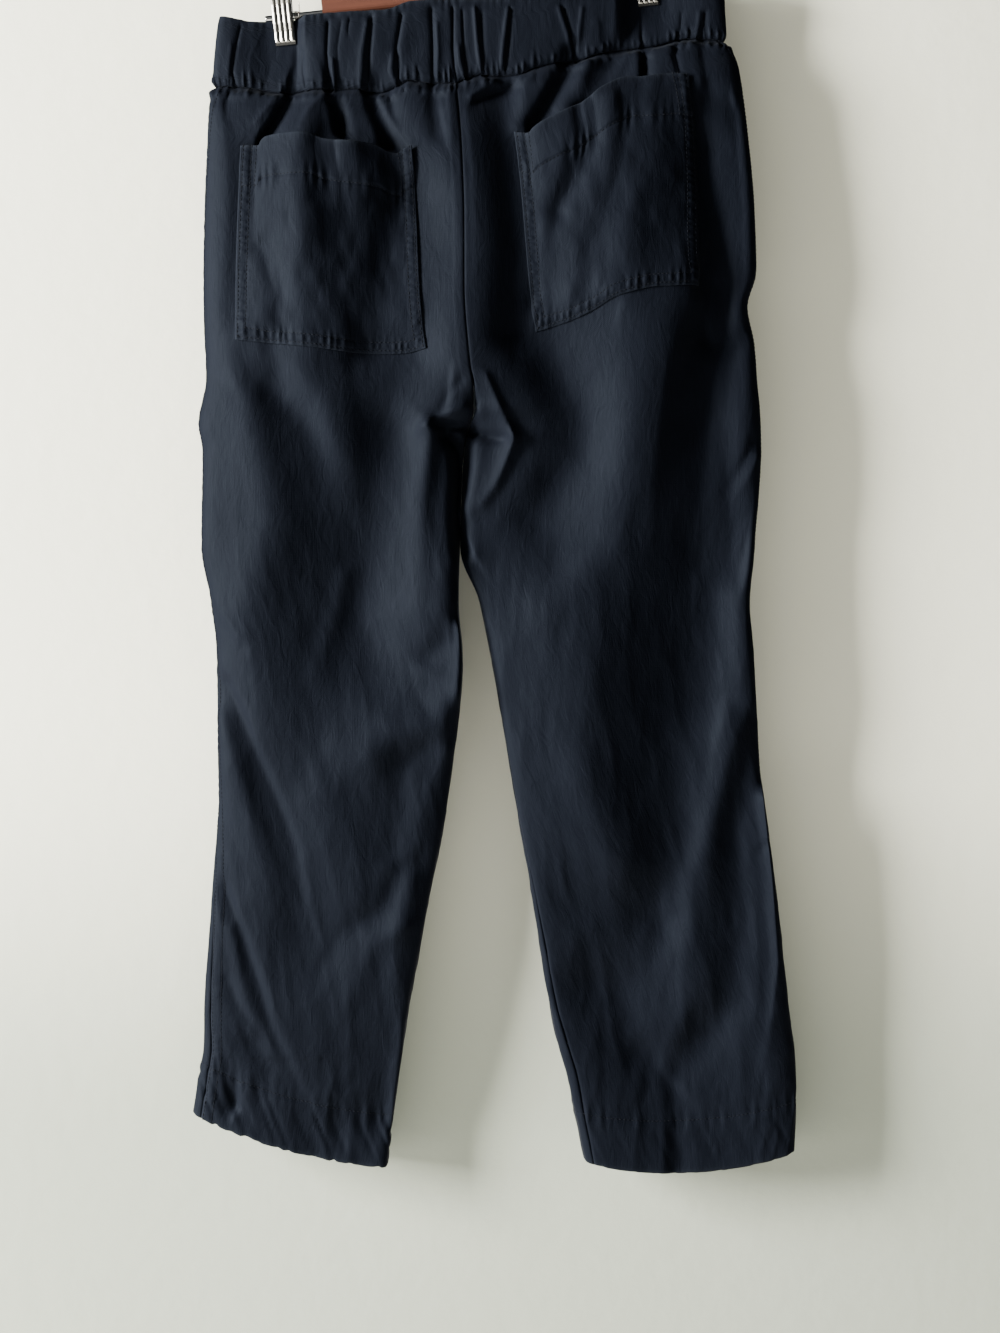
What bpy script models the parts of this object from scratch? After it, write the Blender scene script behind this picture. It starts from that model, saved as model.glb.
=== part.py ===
"""Cropped pull-on trousers hung by their waistband from a wooden hanger with two clips.

Metres, +Z up. The origin is the inner top of the hanger's hook. The garment's back faces -Y and
its left leg is at -X. On the garment, a place is given as across, from its middle line, and drop,
below the level of the waist.
"""
import math
from collections import namedtuple

import bmesh
import bpy
import numpy as np

# The garment hangs from the hanger at this place below the hook.
MIDDLE_X = 0.0113
WAIST_Z = -0.1066

# Cloth walls: one layer in the panels, two in the turned-up hem, four and elastic in the waistband.
PANEL_WALL = 0.0012
HEM_WALL = 0.0024
BAND_WALL = 0.0024
BAND_FOOT_BEVEL = 0.0010
POCKET_WALL = 0.0014
SEAM_GAP = 0.0003
POCKET_GAP = 0.0003

# The hanger, level in its own frame and then tilted about the hook.
TILT = math.radians(6.2)
HOOK_TO_ROD = 0.105
BAR_LENGTH = 0.213
BAR_HEIGHT = 0.030
BAR_DEPTH = 0.014
BAR_ROUNDING = 0.004
BAR_BELOW_ROD = 0.004
ROD_DIAMETER = 0.005
ROD_HOLE = 0.0056
ROD_END = 0.150
ROD_IN_BAR = 0.025
CLIP_PLACE = 0.1365
CLIP_ACROSS = 0.13575
JAW_WIDTH = 0.015
JAW_SHEET = 0.0010
JAW_RIB = 0.0006
JAW_RIBS = 4
# A jaw's bends from its grip to its mouth: the place of its inner face, and the ribs' share there.
Bend = namedtuple("Bend", "y z rib")
JAW_BENDS = (
    Bend(0.0105, 0.0200, 0.0),
    Bend(0.0096, 0.0180, 1.0),
    Bend(0.0060, 0.0080, 1.0),
    Bend(0.0050, 0.0020, 1.0),
    Bend(0.0046, -0.0060, 1.0),
    Bend(0.00285, -0.0120, 1.0),
    Bend(0.00285, -0.0190, 1.0),
    Bend(0.00285, -0.0200, 0.0),
    Bend(0.00285, -0.0220, 0.0),
)
# The ears of the two jaws pass each other on the rod. An ear's outline is given for the front jaw.
EAR_SHEET = 0.0009
EAR_PLACES = {"back": 0.0056, "front": 0.0042}
Corner = namedtuple("Corner", "y z")
EAR_OUTLINE = (Corner(0.0054, -0.0019), Corner(-0.0040, -0.0019), Corner(-0.0042, 0.0015),
               Corner(-0.0026, 0.0039), Corner(0.0010, 0.0048), Corner(0.0054, 0.0048))
SPRING_WIRE = 0.0009
SPRING_RADIUS = 0.0034
SPRING_TURNS = 3
SPRING_STEPS = 9
SPRING_PITCH = 0.0012
SPRING_BESIDE_JAW = 0.0012
# The spring's tail lies along the jaw: its steps out and up from the coil's end.
SPRING_TAIL = (Corner(0.0004, 0.0040), Corner(0.0008, 0.0120))
HOOK_WIRE = 0.0035
HOOK_INNER_RADIUS = 0.018
# The hook's stem and neck, from its foot in the bar, and the arc of its round part.
Bow = namedtuple("Bow", "x rise")
HOOK_NECK = (Bow(0.0, 0.0), Bow(0.0, 0.016), Bow(0.0022, 0.024), Bow(0.0078, 0.033))
HOOK_FROM = math.radians(-42.0)
HOOK_TO = math.radians(192.0)
HOOK_STEPS = 18
SHARP_EDGE = math.radians(35.0)

# Half the thickness of the two layers of waistband where a clip presses them together.
PINCHED = 0.00255
PINCH_REACH = 0.010
PINCH_FADE = 0.024
# The rows of the sections between which the pinch dies out.
PINCH_ROWS = (0.4, 1.6)

# The garment's cross-sections from the waist down. Inner is the middle seam, and below the crotch
# the inseam. A section slopes from its inner drop to its outer drop and sags between them.
Torso = namedtuple("Torso", "drop middle back front closed left_drop left_x left_sag"
                            " right_drop right_x right_sag rows")
TORSO = (
    Torso(0.0040, -0.0053, 0.0135, 0.0130, 0.00, 0.0135, -0.1832, 0.0, -0.0200, 0.1935, 0.0, 3),
    Torso(0.0635, -0.0053, 0.0100, 0.0080, 0.00, 0.0650, -0.1879, 0.0, 0.0315, 0.1965, 0.0, 1),
    Torso(0.0845, -0.0038, 0.0145, 0.0105, 0.00, 0.0840, -0.1913, 0.0, 0.0410, 0.2015, 0.0, 2),
    Torso(0.1140, -0.0015, 0.0190, 0.0140, 0.00, 0.1100, -0.1924, 0.0, 0.0515, 0.2055, 0.0, 3),
    Torso(0.1680, 0.0004, 0.0230, 0.0160, 0.00, 0.1600, -0.1943, 0.0, 0.1050, 0.2130, 0.0, 2),
    Torso(0.2200, 0.0006, 0.0255, 0.0170, 0.00, 0.2080, -0.1950, 0.003, 0.1560, 0.2175, 0.0, 2),
    Torso(0.2655, 0.0038, 0.0270, 0.0175, 0.00, 0.2540, -0.1943, 0.006, 0.2030, 0.2190, 0.0, 1),
    Torso(0.2790, 0.0053, 0.0270, 0.0180, 0.10, 0.2700, -0.1933, 0.004, 0.2310, 0.2123, 0.0, 1),
    Torso(0.2925, 0.0075, 0.0270, 0.0180, 0.42, 0.2860, -0.1930, 0.002, 0.2588, 0.2175, 0.0, 2),
    Torso(0.3083, 0.0078, 0.0270, 0.0178, 1.00, 0.3040, -0.1965, 0.0, 0.2888, 0.2198, 0.0, 1),
)
SEAM_ROW = 1
POCKET_TOP_ROW = 3
GATHERS_END_ROW = 4
POCKET_BOTTOM_ROW = 6
CROTCH_ROW = 9

# Inset is how far the inseam lies towards the front, turn how far the leg is turned on its seams,
# and rows the steps of the mesh down to the next section.
Leg = namedtuple("Leg", "inner_drop outer_drop inner_x outer_x back front inset turn sag rows")
LEFT_LEG = (
    Leg(0.3220, 0.3188, 0.0030, -0.1988, 0.0265, 0.0170, 0.006, 0.00, 0.0, 1),
    Leg(0.3450, 0.3413, -0.0008, -0.1958, 0.0260, 0.0170, 0.011, 0.00, 0.0, 2),
    Leg(0.4088, 0.4088, -0.0038, -0.1969, 0.0250, 0.0165, 0.008, 0.00, 0.0, 1),
    Leg(0.4510, 0.4510, -0.0034, -0.1895, 0.0240, 0.0160, 0.002, 0.00, 0.0, 2),
    Leg(0.4950, 0.4950, 0.0006, -0.1852, 0.0235, 0.0155, 0.0, 0.00, 0.0, 3),
    Leg(0.5850, 0.5850, -0.0090, -0.1845, 0.0215, 0.0145, 0.0, 0.02, 0.0, 2),
    Leg(0.6750, 0.6750, -0.0255, -0.1898, 0.0195, 0.0140, 0.0, 0.08, 0.0, 2),
    Leg(0.7650, 0.7600, -0.0420, -0.1958, 0.0180, 0.0130, 0.0, 0.13, 0.002, 1),
    Leg(0.8060, 0.7850, -0.0476, -0.1962, 0.0170, 0.0125, 0.0, 0.14, 0.005, 1),
    Leg(0.8400, 0.8030, -0.0525, -0.1988, 0.0160, 0.0120, 0.0, 0.14, 0.006, 2),
    Leg(0.8725, 0.8325, -0.0570, -0.2033, 0.0160, 0.0120, 0.0, 0.14, 0.007, 0),
)
RIGHT_LEG = (
    Leg(0.3220, 0.3080, 0.0036, 0.2218, 0.0265, 0.0170, 0.006, 0.00, 0.0, 1),
    Leg(0.3450, 0.3390, 0.0002, 0.2228, 0.0260, 0.0170, 0.011, 0.00, 0.0, 2),
    Leg(0.4088, 0.4088, 0.0015, 0.2183, 0.0250, 0.0165, 0.008, 0.00, 0.0, 1),
    Leg(0.4510, 0.4510, 0.0106, 0.2146, 0.0240, 0.0160, 0.002, 0.00, 0.0, 2),
    Leg(0.4950, 0.4950, 0.0195, 0.2175, 0.0235, 0.0155, 0.0, 0.00, 0.0, 3),
    Leg(0.5850, 0.5850, 0.0350, 0.2230, 0.0215, 0.0145, 0.0, 0.02, 0.0, 2),
    Leg(0.6750, 0.6750, 0.0510, 0.2348, 0.0195, 0.0140, 0.0, 0.08, 0.0, 2),
    Leg(0.7650, 0.7650, 0.0653, 0.2453, 0.0180, 0.0130, 0.0, 0.13, 0.002, 1),
    Leg(0.8025, 0.7990, 0.0758, 0.2490, 0.0170, 0.0125, 0.0, 0.14, 0.006, 1),
    Leg(0.8340, 0.8290, 0.0825, 0.2498, 0.0160, 0.0120, 0.0, 0.14, 0.010, 2),
    Leg(0.8680, 0.8615, 0.0893, 0.2483, 0.0160, 0.0120, 0.0, 0.14, 0.011, 0),
)
HEM_ROW = CROTCH_ROW + len(LEFT_LEG) - 1
HEM_STEP = 0.08
BAND_ROWS = (0.0, 0.38, 0.68, 1.0)

# Sections close round their edges as a superellipse over this share of their width.
ROUND_FROM = 0.45
INNER_POWER = 3.5
OUTER_POWER = 3.0
# The inset dies out over this share of the width.
INSET_REACH = 0.40

# The drops of the waistband's seam and top edge, at shares of the way from the middle to the side.
Waist = namedtuple("Waist", "share left_seam left_top right_seam right_top")
WAIST = (
    Waist(0.00, 0.0635, 0.0040, 0.0635, 0.0040),
    Waist(0.09, 0.0645, 0.0042, 0.0580, 0.0038),
    Waist(0.19, 0.0620, 0.0052, 0.0590, 0.0028),
    Waist(0.30, 0.0695, 0.0116, 0.0520, -0.0006),
    Waist(0.45, 0.0680, 0.0130, 0.0455, -0.0062),
    Waist(0.60, 0.0685, 0.0148, 0.0385, -0.0100),
    Waist(0.72, 0.0700, 0.0168, 0.0355, -0.0132),
    Waist(0.85, 0.0665, 0.0176, 0.0300, -0.0160),
    Waist(1.00, 0.0650, 0.0135, 0.0315, -0.0200),
)

# The gathers: a crease's place as a share of the way from the middle to the side, and its depth.
Crease = namedtuple("Crease", "share depth")
BACK_CREASES = {
    "left": (Crease(0.049, 0.0018), Crease(0.103, 0.0016), Crease(0.185, 0.0020),
             Crease(0.250, 0.0034), Crease(0.374, 0.0030), Crease(0.439, 0.0014),
             Crease(0.520, 0.0027), Crease(0.595, 0.0018), Crease(0.668, 0.0030),
             Crease(0.776, 0.0024), Crease(0.840, 0.0016), Crease(0.924, 0.0025)),
    "right": (Crease(0.024, 0.0014), Crease(0.089, 0.0022), Crease(0.149, 0.0020),
              Crease(0.205, 0.0014), Crease(0.290, 0.0020), Crease(0.394, 0.0032),
              Crease(0.465, 0.0030), Crease(0.550, 0.0017), Crease(0.616, 0.0020),
              Crease(0.690, 0.0030), Crease(0.845, 0.0022), Crease(0.914, 0.0023)),
}
FRONT_CREASES = {
    "left": (Crease(0.080, 0.0022), Crease(0.210, 0.0030), Crease(0.370, 0.0024),
             Crease(0.520, 0.0032), Crease(0.668, 0.0026), Crease(0.790, 0.0028),
             Crease(0.920, 0.0022)),
    "right": (Crease(0.070, 0.0022), Crease(0.190, 0.0026), Crease(0.340, 0.0032),
              Crease(0.490, 0.0024), Crease(0.640, 0.0028), Crease(0.780, 0.0030),
              Crease(0.915, 0.0022)),
}
# Columns of the mesh run down every crease and ridge, and close to each side seam.
NEAR_EDGE = 0.3

# The pockets' inner and outer edges on their panels, by column, and as shares of the section at
# the pocket's mouth and at its foot.
Pocket = namedtuple("Pocket", "inner_column outer_column mouth_inner mouth_outer foot_inner foot_outer"
                              " rise gape crown")
POCKETS = {
    "left": Pocket(6, 20, 0.191, 0.860, 0.155, 0.870, 0.007, 0.006, 0.004),
    "right": Pocket(6, 18, 0.188, 0.818, 0.230, 0.787, 0.004, 0.005, 0.003),
}

# A pocket stands out from its panel as a power of a sine across, and its crown reaches this far.
BELLY_POWER = 0.7
CROWN_REACH = 1.15

# The largest folds, from one place to another: half width, and height, which is negative in troughs.
Fold = namedtuple("Fold", "x drop to_x to_drop width height")
BACK_FOLDS = (
    # The seat and the pockets.
    Fold(-0.118, 0.108, -0.114, 0.245, 0.017, 0.0070),
    Fold(-0.088, 0.108, -0.087, 0.140, 0.013, 0.0055),
    Fold(-0.105, 0.115, -0.092, 0.190, 0.022, -0.0045),
    Fold(-0.062, 0.180, -0.069, 0.258, 0.017, -0.0045),
    Fold(-0.040, 0.152, -0.042, 0.200, 0.022, -0.0070),
    Fold(-0.004, 0.122, -0.002, 0.262, 0.024, 0.0060),
    Fold(0.030, 0.080, 0.042, 0.245, 0.016, -0.0070),
    Fold(0.090, 0.082, 0.073, 0.158, 0.010, -0.0050),
    Fold(0.068, 0.158, 0.058, 0.224, 0.013, -0.0040),
    Fold(0.136, 0.150, 0.119, 0.216, 0.016, 0.0035),
    Fold(0.182, 0.080, 0.187, 0.250, 0.010, -0.0040),
    Fold(0.186, 0.118, 0.187, 0.215, 0.026, -0.0060),
    # The left thigh.
    Fold(-0.152, 0.264, -0.150, 0.340, 0.024, 0.0090),
    Fold(-0.142, 0.390, -0.160, 0.455, 0.022, 0.0060),
    Fold(-0.140, 0.262, -0.138, 0.305, 0.017, -0.0060),
    Fold(-0.132, 0.264, -0.100, 0.318, 0.013, 0.0045),
    Fold(-0.112, 0.350, -0.088, 0.480, 0.036, -0.0060),
    Fold(-0.040, 0.270, -0.050, 0.300, 0.020, -0.0040),
    Fold(-0.056, 0.340, -0.064, 0.495, 0.022, -0.0055),
    Fold(-0.027, 0.325, -0.032, 0.430, 0.010, 0.0050),
    Fold(-0.014, 0.400, -0.011, 0.450, 0.022, 0.0080),
    Fold(-0.003, 0.522, -0.055, 0.548, 0.017, 0.0080),
    # The left knee and lower leg.
    Fold(-0.178, 0.515, -0.150, 0.580, 0.010, -0.0045),
    Fold(-0.184, 0.545, -0.160, 0.615, 0.014, 0.0055),
    Fold(-0.106, 0.600, -0.088, 0.665, 0.022, 0.0040),
    Fold(-0.180, 0.668, -0.155, 0.740, 0.010, -0.0040),
    Fold(-0.115, 0.700, -0.118, 0.750, 0.025, -0.0040),
    Fold(-0.178, 0.714, -0.140, 0.800, 0.008, -0.0030),
    Fold(-0.084, 0.770, -0.088, 0.810, 0.040, -0.0025),
    # The crotch.
    Fold(0.024, 0.316, 0.034, 0.341, 0.009, 0.0060),
    Fold(0.034, 0.341, 0.018, 0.390, 0.009, 0.0060),
    Fold(0.052, 0.255, 0.086, 0.310, 0.018, -0.0040),
    Fold(0.088, 0.325, 0.054, 0.386, 0.018, -0.0040),
    # The right thigh.
    Fold(0.166, 0.228, 0.140, 0.340, 0.026, 0.0090),
    Fold(0.181, 0.256, 0.176, 0.400, 0.015, -0.0025),
    Fold(0.070, 0.266, 0.072, 0.448, 0.025, -0.0040),
    Fold(0.120, 0.300, 0.110, 0.408, 0.018, 0.0030),
    Fold(0.194, 0.256, 0.190, 0.500, 0.024, -0.0065),
    Fold(0.208, 0.455, 0.196, 0.570, 0.024, 0.0065),
    # The right knee and lower leg.
    Fold(0.080, 0.465, 0.078, 0.540, 0.036, 0.0095),
    Fold(0.166, 0.450, 0.146, 0.660, 0.030, -0.0060),
    Fold(0.095, 0.560, 0.118, 0.648, 0.025, 0.0035),
    Fold(0.212, 0.535, 0.176, 0.650, 0.013, 0.0055),
    Fold(0.210, 0.540, 0.205, 0.735, 0.016, -0.0070),
    Fold(0.228, 0.600, 0.234, 0.680, 0.014, 0.0080),
    Fold(0.112, 0.700, 0.106, 0.736, 0.030, -0.0055),
    Fold(0.146, 0.695, 0.134, 0.780, 0.017, -0.0040),
    Fold(0.176, 0.780, 0.184, 0.840, 0.036, -0.0035),
)
FRONT_FOLDS = (
    Fold(-0.150, 0.120, -0.160, 0.400, 0.022, -0.0050),
    Fold(-0.105, 0.150, -0.112, 0.480, 0.020, 0.0045),
    Fold(-0.030, 0.330, -0.075, 0.260, 0.014, 0.0050),
    Fold(-0.060, 0.360, -0.070, 0.620, 0.022, -0.0050),
    Fold(-0.120, 0.520, -0.135, 0.740, 0.020, -0.0040),
    Fold(0.045, 0.325, 0.085, 0.250, 0.014, 0.0050),
    Fold(0.080, 0.350, 0.095, 0.620, 0.022, -0.0045),
    Fold(0.150, 0.130, 0.160, 0.420, 0.022, -0.0050),
    Fold(0.115, 0.160, 0.130, 0.500, 0.020, 0.0045),
    Fold(0.165, 0.540, 0.185, 0.760, 0.020, -0.0040),
)

CLOTH = (0.035, 0.043, 0.058)
WOOD = (0.19, 0.075, 0.045)
STEEL = (0.56, 0.54, 0.47)


def smooth_through(values, at):
    """The values of a table's rows, read between the rows on a curve that never overshoots."""
    values = np.asarray(values, float)
    at = np.clip(np.asarray(at, float), 0.0, len(values) - 1.0)
    slope = np.diff(values)
    turns = slope[:-1] * slope[1:] <= 0.0
    both = np.where(turns, 1.0, slope[:-1] + slope[1:])
    tangent = np.concatenate(([slope[0]], np.where(turns, 0.0, 2.0 * slope[:-1] * slope[1:] / both),
                              [slope[-1]]))
    row = np.minimum(at.astype(int), len(values) - 2)
    t = at - row
    return (values[row] * (1 + 2 * t) * (1 - t) ** 2 + tangent[row] * t * (1 - t) ** 2
            + values[row + 1] * t * t * (3 - 2 * t) - tangent[row + 1] * t * t * (1 - t))


def fade(value, start, end):
    """One at start, nothing at end, and a soft slope between."""
    t = np.clip((np.asarray(value, float) - end) / (start - end), 0.0, 1.0)
    return t * t * (3.0 - 2.0 * t)


def section_values(side, name, row):
    """A value of the cross-sections of one side, at a row that may lie between two sections."""
    leg = LEFT_LEG if side == "left" else RIGHT_LEG
    of_torso = {"inner_drop": "drop", "inner_x": "middle", "outer_drop": side + "_drop",
                "outer_x": side + "_x", "sag": side + "_sag"}.get(name, name)
    torso = [getattr(section, of_torso, 0.0) for section in TORSO]
    return smooth_through(torso + [getattr(section, name, 1.0) for section in leg], row)


def waist_drop(side, edge, share):
    """The drop of the waistband's seam or top edge at a share of the way to the side."""
    return np.interp(share, [w.share for w in WAIST], [getattr(w, side + "_" + edge) for w in WAIST])


def creases(side, face):
    return (BACK_CREASES if face == "back" else FRONT_CREASES)[side]


def even_share(column):
    """Where a column lies on a plain stretch: closer together towards the seams."""
    return 0.5 * column + 0.25 * (1.0 - np.cos(np.pi * column))


def column_share(side, face, column, row):
    """Where a column lies, as a share of the way from the inner seam to the side seam.

    It runs along the gathers at the waist and along the pocket's edges beside the pocket.
    """
    folds = creases(side, face)
    marks = [0.0]
    for crease, following in zip(folds, folds[1:]):
        marks += [crease.share, 0.5 * (crease.share + following.share)]
    marks += [folds[-1].share, 1.0]
    gathered = np.interp(column, np.linspace(0.0, 1.0, len(marks)), marks)
    plain = even_share(column)
    if face == "back":
        pocket = POCKETS[side]
        down = np.clip((row - POCKET_TOP_ROW) / (POCKET_BOTTOM_ROW - POCKET_TOP_ROW), 0.0, 1.0)
        inner = pocket.mouth_inner + (pocket.foot_inner - pocket.mouth_inner) * down
        outer = pocket.mouth_outer + (pocket.foot_outer - pocket.mouth_outer) * down
        steps = 2.0 * len(folds)
        from_inner, from_outer = even_share(np.array([pocket.inner_column, pocket.outer_column]) / steps)
        beside = np.where(
            plain < from_inner, plain * inner / from_inner,
            np.where(plain > from_outer, 1.0 - (1.0 - plain) * (1.0 - outer) / (1.0 - from_outer),
                     inner + (plain - from_inner) * (outer - inner) / (from_outer - from_inner)))
        plain = plain + (beside - plain) * fade(row, POCKET_BOTTOM_ROW, POCKET_BOTTOM_ROW + 4)
    return plain + (gathered - plain) * fade(row, SEAM_ROW, POCKET_TOP_ROW)


def gather_depth(side, face, column):
    """How far the cloth lies in from its ridges: a V at each crease and a soft ridge between."""
    folds = creases(side, face)
    place = np.asarray(column, float) * len(folds)
    nearest = np.clip(place.astype(int), 0, len(folds) - 1)
    depth = np.array([crease.depth for crease in folds])[nearest]
    return depth * (1.0 - np.abs(np.sin(np.pi * (place - 0.5))))


def folded(folds, x, drop):
    """How far the large folds lift the cloth at a place."""
    lift = np.zeros(np.broadcast(x, drop).shape)
    for fold in folds:
        along_x, along_drop = fold.to_x - fold.x, fold.to_drop - fold.drop
        length = along_x ** 2 + along_drop ** 2
        t = np.clip(((x - fold.x) * along_x + (drop - fold.drop) * along_drop) / length, 0.0, 1.0)
        away = (x - fold.x - t * along_x) ** 2 + (drop - fold.drop - t * along_drop) ** 2
        lift = lift + fold.height * np.exp(-away / fold.width ** 2)
    return lift


def rounded_off(share, power):
    return (1.0 - np.clip(share, 0.0, 1.0) ** power) ** (1.0 / power)


def cloth(side, face, column, row):
    """Points of the garment's outer face, for a panel's columns at rows of the section tables."""
    column, row = np.broadcast_arrays(np.asarray(column, float), np.asarray(row, float))
    share = np.clip(column_share(side, face, column, row), 0.0, 1.0)
    angle = np.arccos(1.0 - 2.0 * share) / np.pi * (1.0 if face == "back" else -1.0)
    turned = section_values(side, "turn", row) * np.where(row > CROTCH_ROW, 1.0, 0.0)
    angle = angle + turned * (-1.0 if side == "left" else 1.0)
    angle = np.where(angle > 1.0, angle - 2.0, np.where(angle < -1.0, angle + 2.0, angle))
    on_back = (angle > 0.0) | ((angle == 0.0) & (face == "back"))
    share = 0.5 * (1.0 - np.cos(np.pi * angle))

    inner_drop = section_values(side, "inner_drop", row)
    outer_drop = section_values(side, "outer_drop", row)
    drop = inner_drop + (outer_drop - inner_drop) * share
    drop = drop + section_values(side, "sag", row) * 4.0 * share * (1.0 - share)
    seam, top = waist_drop(side, "seam", share), waist_drop(side, "top", share)
    seam_line = TORSO[SEAM_ROW].drop + (waist_drop(side, "seam", 1.0) - TORSO[SEAM_ROW].drop) * share
    drop = np.where(row < SEAM_ROW, top + (seam - top) * row,
                    drop + (seam - seam_line) * fade(row, SEAM_ROW, POCKET_TOP_ROW))
    inner_x = section_values(side, "inner_x", row)
    x = inner_x + (section_values(side, "outer_x", row) - inner_x) * share

    closed = section_values(side, "closed", row)
    round_outer = rounded_off((share - ROUND_FROM) / (1.0 - ROUND_FROM), OUTER_POWER)
    round_inner = 1.0 - closed * (1.0 - rounded_off((ROUND_FROM - share) / ROUND_FROM, INNER_POWER))
    full = round_outer * round_inner
    half = np.where(on_back, section_values(side, "back", row), section_values(side, "front", row))
    beside_clip = np.abs(np.abs(x) - CLIP_ACROSS)
    under_clip = fade(beside_clip, PINCH_REACH, PINCH_REACH + PINCH_FADE) * fade(row, *PINCH_ROWS)
    half = half * full
    half = half + (np.minimum(half, PINCHED) - half) * under_clip

    depth = gather_depth(side, face, column) * fade(row, SEAM_ROW, GATHERS_END_ROW)
    depth = depth * (1.0 - under_clip)
    lift = np.where(on_back, folded(BACK_FOLDS, x, drop), folded(FRONT_FOLDS, x, drop))
    half = half + (lift * fade(row, SEAM_ROW + 2, SEAM_ROW) - depth) * np.sqrt(full)
    inset = section_values(side, "inset", row) * closed
    y = np.where(on_back, -half, half) + inset * fade(share, 0.0, INSET_REACH)
    return np.stack([MIDDLE_X + x, y, WAIST_Z - drop], axis=-1)


def columns(side, face):
    """The columns of a panel's mesh, from its inner seam to its side seam."""
    steps = 2 * len(creases(side, face))
    return np.array([0.0, NEAR_EDGE] + list(range(1, steps)) + [steps - NEAR_EDGE, steps]) / steps


def rows():
    """The rows of a panel's mesh, from the waist seam to the hem."""
    found = []
    sections = TORSO + LEFT_LEG
    for number in range(SEAM_ROW, HEM_ROW + 1):
        count = sections[number].rows
        found += [number + step / count for step in range(count)]
    found.append(HEM_ROW - HEM_STEP)
    return np.array(sorted(found + [HEM_ROW + 1.0]))


def outward_sum(points, outward):
    """For each point of a grid, the sum of the faces' normals round it."""
    across = points[:-1, 1:] - points[1:, :-1]
    down = points[1:, 1:] - points[:-1, :-1]
    face = np.cross(across, down) * outward
    total = np.zeros_like(points)
    for rows_of, columns_of in ((slice(None, -1), slice(None, -1)), (slice(None, -1), slice(1, None)),
                                (slice(1, None), slice(None, -1)), (slice(1, None), slice(1, None))):
        total[rows_of, columns_of] += face
    return total


def shared_normals(grids, outwards):
    """Normals of several grids, the same on both sides of every seam where they meet."""
    points = np.concatenate([grid.reshape(-1, 3) for grid in grids])
    sums = np.concatenate([outward_sum(g, o).reshape(-1, 3) for g, o in zip(grids, outwards)])
    keys = np.round(points * 1e6 + 0.25).astype(np.int64)
    _, place = np.unique(keys, axis=0, return_inverse=True)
    place = place.reshape(-1)
    total = np.zeros((place.max() + 1, 3))
    np.add.at(total, place, sums)
    total /= np.linalg.norm(total, axis=1, keepdims=True)
    found, start = [], 0
    for grid in grids:
        count = grid.shape[0] * grid.shape[1]
        found.append(total[place[start:start + count]].reshape(grid.shape))
        start += count
    return found


def seam_allowance(grid, edges):
    """The grid with its named edges drawn in by half of the gap at a seam."""
    grid = grid.copy()
    for edge in edges:
        along = {"inner": grid[:, :2], "outer": grid[:, :-3:-1], "top": grid[:2].swapaxes(0, 1),
                 "foot": grid[:-3:-1].swapaxes(0, 1)}[edge]
        step = along[:, 1] - along[:, 0]
        step *= SEAM_GAP / 2.0 / np.linalg.norm(step, axis=1, keepdims=True)
        if edge == "inner":
            step[:, 0] = math.copysign(SEAM_GAP / 2.0, step[:, 0].sum())
        along[:, 0] += step
    return grid


def finish(name, colour, roughness, metallic):
    """A material of one colour."""
    material = bpy.data.materials.new(name)
    material.use_nodes = True
    shader = material.node_tree.nodes["Principled BSDF"]
    shader.inputs["Base Color"].default_value = (*colour, 1.0)
    shader.inputs["Roughness"].default_value = roughness
    shader.inputs["Metallic"].default_value = metallic
    return material


def add_object(name, bm, material, collection):
    """The object of a mesh whose faces all point outwards."""
    if bm.calc_volume(signed=True) < 0.0:
        bmesh.ops.reverse_faces(bm, faces=bm.faces)
    mesh = bpy.data.meshes.new(name)
    bm.to_mesh(mesh)
    bm.free()
    mesh.materials.append(material)
    mesh.shade_smooth()
    mesh.set_sharp_from_angle(angle=SHARP_EDGE)
    item = bpy.data.objects.new(name, mesh)
    collection.objects.link(item)
    return item


def add_wall(name, outer, inner, material, collection, ring=False):
    """A closed wall between two grids of points. In a ring, the last column meets the first."""
    count_rows, count_columns = outer.shape[:2]
    bm = bmesh.new()
    corner = [[[bm.verts.new(point) for point in row] for row in grid] for grid in (outer, inner)]

    def quad(a, b, c, d):
        bm.faces.new((a, b, c))
        bm.faces.new((a, c, d))

    following = [(c + 1) % count_columns for c in range(count_columns if ring else count_columns - 1)]
    for r in range(count_rows - 1):
        for c, after in enumerate(following):
            quad(corner[0][r][c], corner[0][r + 1][c], corner[0][r + 1][after], corner[0][r][after])
            quad(corner[1][r + 1][after], corner[1][r + 1][c], corner[1][r][c], corner[1][r][after])
        if not ring:
            for c, first, second in ((0, 1, 0), (count_columns - 1, 0, 1)):
                quad(corner[first][r][c], corner[first][r + 1][c],
                     corner[second][r + 1][c], corner[second][r][c])
    for c, after in enumerate(following):
        quad(corner[0][0][after], corner[1][0][after], corner[1][0][c], corner[0][0][c])
        quad(corner[0][-1][c], corner[1][-1][c], corner[1][-1][after], corner[0][-1][after])
    return add_object(name, bm, material, collection)


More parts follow.
